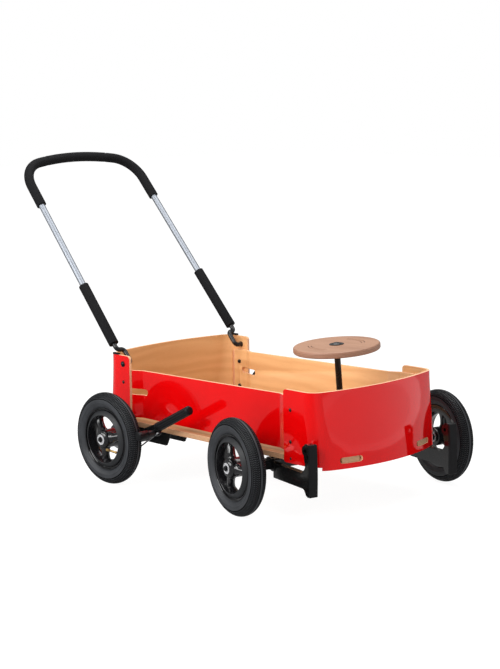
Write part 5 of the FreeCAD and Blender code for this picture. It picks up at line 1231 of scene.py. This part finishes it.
# %% Path down the handle
LEG_Y, LEG_SPLAY, LEG_FOOT, LEG_TOP = 274.0, 14.5, 58.0, 760.0
BAR_TOP, BAR_R, CORNER_R = 897.0, 900.0, 108.0
HANDLE_PIVOT = at(-57.5, 0, 384.3)


def handle_point(along, across):
    """A place in the handle's own plane, in metres in the wagon."""
    return HANDLE_PIVOT + Vector((-math.cos(HANDLE_LEAN) * along, across,
                                  math.sin(HANDLE_LEAN) * along)) * MM


def corner():
    """Centre of the bar's bow and of the left corner's bend, and the leg's lean.

    The bend's centre lies on a line beside the leg, as far in as the bend is
    wide, and on a circle inside the bow. Where they meet is a quadratic.
    """
    slope = LEG_SPLAY / (LEG_TOP - LEG_FOOT)
    lean = math.atan(slope)
    bow = BAR_TOP - BAR_R
    reach = BAR_R - CORNER_R
    inner = LEG_Y - LEG_SPLAY - CORNER_R / math.cos(lean) - slope * (bow - LEG_TOP)
    a, half_b, c = 1 + slope ** 2, inner * slope, inner ** 2 - reach ** 2
    up = (half_b + math.sqrt(half_b ** 2 - a * c)) / a
    return bow, bow + up, inner - slope * up, lean


def handle_path(steps=24):
    """(along, across) points from the left leg's top to the middle of the bar."""
    bow, along, across, lean = corner()
    end = math.atan2(along - bow, across)
    points = []
    for i in range(steps + 1):
        angle = lean + (end - lean) * i / steps
        points.append((along + CORNER_R * math.sin(angle), across + CORNER_R * math.cos(angle)))
    last = math.atan2(points[-1][1], points[-1][0] - bow)
    for i in range(1, steps + 1):
        angle = last * (1 - i / steps)
        points.append((bow + BAR_R * math.cos(angle), BAR_R * math.sin(angle)))
    return points


def leg_across(along):
    """How far out the leg's middle is at a distance from the pivot."""
    return LEG_Y - LEG_SPLAY * (along - LEG_FOOT) / (LEG_TOP - LEG_FOOT)


path = handle_path()
print("bar top", round(path[-1][0], 1), "mm from the pivot")

# %% Foam
FOAM_R, FOAM_EDGE = 17.5, 2.6
SEAM_Y, SEAM_GAP, SEAM_SLANT = 135.0, 1.5, 0.4
GRIP_END, SLEEVE = LEG_TOP - 70.0, (84.0, 333.0)        # from the pivot, along the leg


def foam_tube(name, places):
    """Round foam along places in the handle's plane, its cut ends softened."""
    data = bpy.data.curves.new(name, "CURVE")
    data.dimensions = "3D"
    line = data.splines.new("POLY")
    line.points.add(len(places) - 1)
    for point, (along, across) in zip(line.points, places):
        point.co = (*handle_point(along, across), 1)
    data.bevel_depth = FOAM_R * MM
    data.bevel_resolution = 14
    data.use_fill_caps = True
    tube = bpy.data.objects.new(name, data)
    scene.collection.objects.link(tube)
    only(tube)
    bpy.ops.object.convert(target="MESH")
    tube = added(name)
    return smooth(face_out(rounded(face_out(tube), FOAM_EDGE, 3)), 50)


def dress(piece, node_name):
    """Hand foam to the handle in place of the plain solid."""
    finished(piece, "push_handle", foam_black, (node_name,))


def mirrored(points):
    """The same places on the handle's right."""
    return [(along, -across) for along, across in points]


seam_along = next(along for along, across in path if across < SEAM_Y)
corner_path = [(GRIP_END, leg_across(GRIP_END))]
corner_path += [p for p in path if p[1] > SEAM_Y + SEAM_GAP / 2]
corner_path.append((seam_along - SEAM_SLANT, SEAM_Y + SEAM_GAP / 2))
for side, turn in (("left", list), ("right", mirrored)):
    dress(foam_tube("corner_foam_" + side, turn(corner_path)), "handle_grip_corners")
    sleeve = [(along, leg_across(along)) for along in SLEEVE]
    dress(foam_tube("sleeve_foam_" + side, turn(sleeve)), "handle_leg_sleeves")
half = [(seam_along, SEAM_Y - SEAM_GAP / 2)] + [p for p in path if p[1] < SEAM_Y - SEAM_GAP]
dress(foam_tube("centre_foam", half + mirrored(half[:-1])[::-1]), "handle_grip_centre")

# %% [markdown]
# The brake's handgrip is moulded rubber with soft flutes down its length,
# which give a wet hand some hold, and a plain round end. The cross bar that
# meets the tyre wears a short smooth sleeve of the same rubber.

# %% Brake grip
BRAKE_BEND, BRAKE_TIP = at(171.0, -330.0, 204.0), at(338.0, -330.0, 288.0)
GRIP_R, GRIP_FROM, GRIP_EDGE, GRIP_ROWS = 15.5, 15.0, 7.0, 24
FLUTES, FLUTE_DEPTH, FLUTE_FADE, TIP_FADE, FLUTE_END = 9, 1.5, 8.0, 10.0, 12.0
BAR_SLEEVE_R, BAR_SLEEVE_L, BAR_EDGE = 15.0, 42.0, 4.0
BAR_TIP = at(169.5, -412.0, 187.2)


def round_end(radius, length, edge, steps=6):
    """Half section of a rod with a rounded far end: (radius, along) from its near end."""
    section = [(0.05, 0.0), (radius - 1.0, 0.0), (radius, 1.0), (radius, length - edge)]
    for i in range(1, steps + 1):
        angle = math.pi / 2 * i / steps
        section.append((radius - edge + edge * math.cos(angle),
                        length - edge + edge * math.sin(angle)))
    return section + [(0.05, length)]


def fluted(piece, length):
    """Press flutes into a rod's side, fading out towards its ends."""
    for v in piece.data.vertices:
        angle = math.atan2(v.co.x, v.co.z)
        along = v.co.y / MM
        wide = math.hypot(v.co.x, v.co.z) / MM
        if wide < 1:
            continue
        from_foot, to_tip = along - FLUTE_FADE, length - FLUTE_END - along
        fade = min(1, max(0, from_foot / FLUTE_FADE), max(0, to_tip / TIP_FADE))
        dip = FLUTE_DEPTH * fade * (0.5 - 0.5 * math.cos(FLUTES * angle)) ** 2
        v.co.x *= 1 - dip / wide
        v.co.z *= 1 - dip / wide
    return piece


grip_dir = (BRAKE_TIP - BRAKE_BEND).normalized()
grip_length = (BRAKE_TIP - BRAKE_BEND).length / MM - GRIP_FROM
section = round_end(GRIP_R, grip_length, GRIP_EDGE)
straight = grip_length - GRIP_EDGE - 1.0
rows = [(GRIP_R, 1.0 + straight * i / GRIP_ROWS) for i in range(1, GRIP_ROWS)]
grip = fluted(turned("brake_handgrip", section[:3] + rows + section[3:], 108), grip_length)
move_mesh(grip, laid_from(BRAKE_BEND + grip_dir * GRIP_FROM * MM, grip_dir))
outwards = Vector((0, -1, 0))
sleeve = turned("bar_sleeve", round_end(BAR_SLEEVE_R, BAR_SLEEVE_L, BAR_EDGE), 64)
move_mesh(sleeve, laid_from(BAR_TIP - outwards * BAR_SLEEVE_L * MM, outwards))
grip = smooth(face_out(joined([grip, sleeve], "brake_handgrip")), 45)
finished(grip, "brake_lever", pad_rubber, ["brake_grip"])

# %% [markdown]
# Castings and moulded rubber have no sharp edges: sand and steel moulds both
# need a radius. The exact brackets and pads are copied, merged and bevelled,
# so that their edges catch the light as the real ones do.

# %% Brackets and pads
FLAT_ANGLE, EDGE_ANGLE = math.radians(1.0), 35
COPY_MERGE = 0.00002


def softened(node_name, name, width, segments):
    """Copy of an exact part with its edges rounded."""
    piece = copy_of(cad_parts[node_name], name)
    piece.parent = None
    pick_all(piece)
    bpy.ops.mesh.remove_doubles(threshold=COPY_MERGE)
    bpy.ops.mesh.dissolve_limited(angle_limit=FLAT_ANGLE)
    bpy.ops.mesh.normals_make_consistent(inside=False)
    done(piece)
    return even_shading(face_out(rounded(piece, width, segments, EDGE_ANGLE)), EDGE_ANGLE)


for side in ("right", "left"):
    finished(softened("foot_bracket_" + side, "casting_" + side, 1.2, 2), "front_axle",
             casting_black, ["foot_bracket_" + side])
    finished(softened("foot_pad_" + side, "facing_" + side, 4.0, 5), "front_axle",
             pad_rubber, ["foot_pad_" + side])

# %% [markdown]
# The exact parts whose shape is already right keep it, and only get their
# finish. Turned and bent metal, bushes and plates are like that.

# %% Finishes for the remaining parts
def repaint(material, names):
    """Give exact parts a material."""
    for name in names:
        for slot in painted(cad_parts[name], material).material_slots:
            slot.material = material


repaint(powder_coat, [
    "rear_axle_beam", "front_axle_beam", "rear_hanger_right", "rear_hanger_left",
    "turntable_upper_plate", "turntable_lower_plate", "steering_head", "kingpin",
    "steering_column", "handle_crank_right", "handle_crank_left", "brake_lever", "brake_arm",
    "brake_pins"])
repaint(bolt_black, [
    "panel_bolts", "floor_screws", "floor_bolts", "rear_axle_end_bolts",
    "front_axle_end_bolts", "bracket_bolts", "handle_pivot_bolts"])
repaint(nylon_black, [
    "kingpin_bush", "column_bushes", "handle_pivot_bushes", "turntable_wear_ring",
    "steering_cap"])
repaint(zinc, ["brake_drum", "brake_rod"])
repaint(pad_rubber, ["handle_stop_pads"])
repaint(aluminium, ["handle_tube"])
repaint(floor_wood, ["floor_board"])
repaint(wheel_wood, ["steering_wheel"])
for material, part in ((tyre_rubber, "tyre_"), (tube_rubber, "inner_tube_"), (rim_gloss, "rim_"),
                       (bearing_steel, "bearings_")):
    repaint(material, [part + name for name in VALVE_AT])
print("repainted", sum(not n.hide_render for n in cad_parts.values()), "exact parts")

# %% [markdown]
# The last cell brings the scene up to date and leaves nothing selected.

# %% Finish
bpy.context.view_layer.update()
clear_selection()
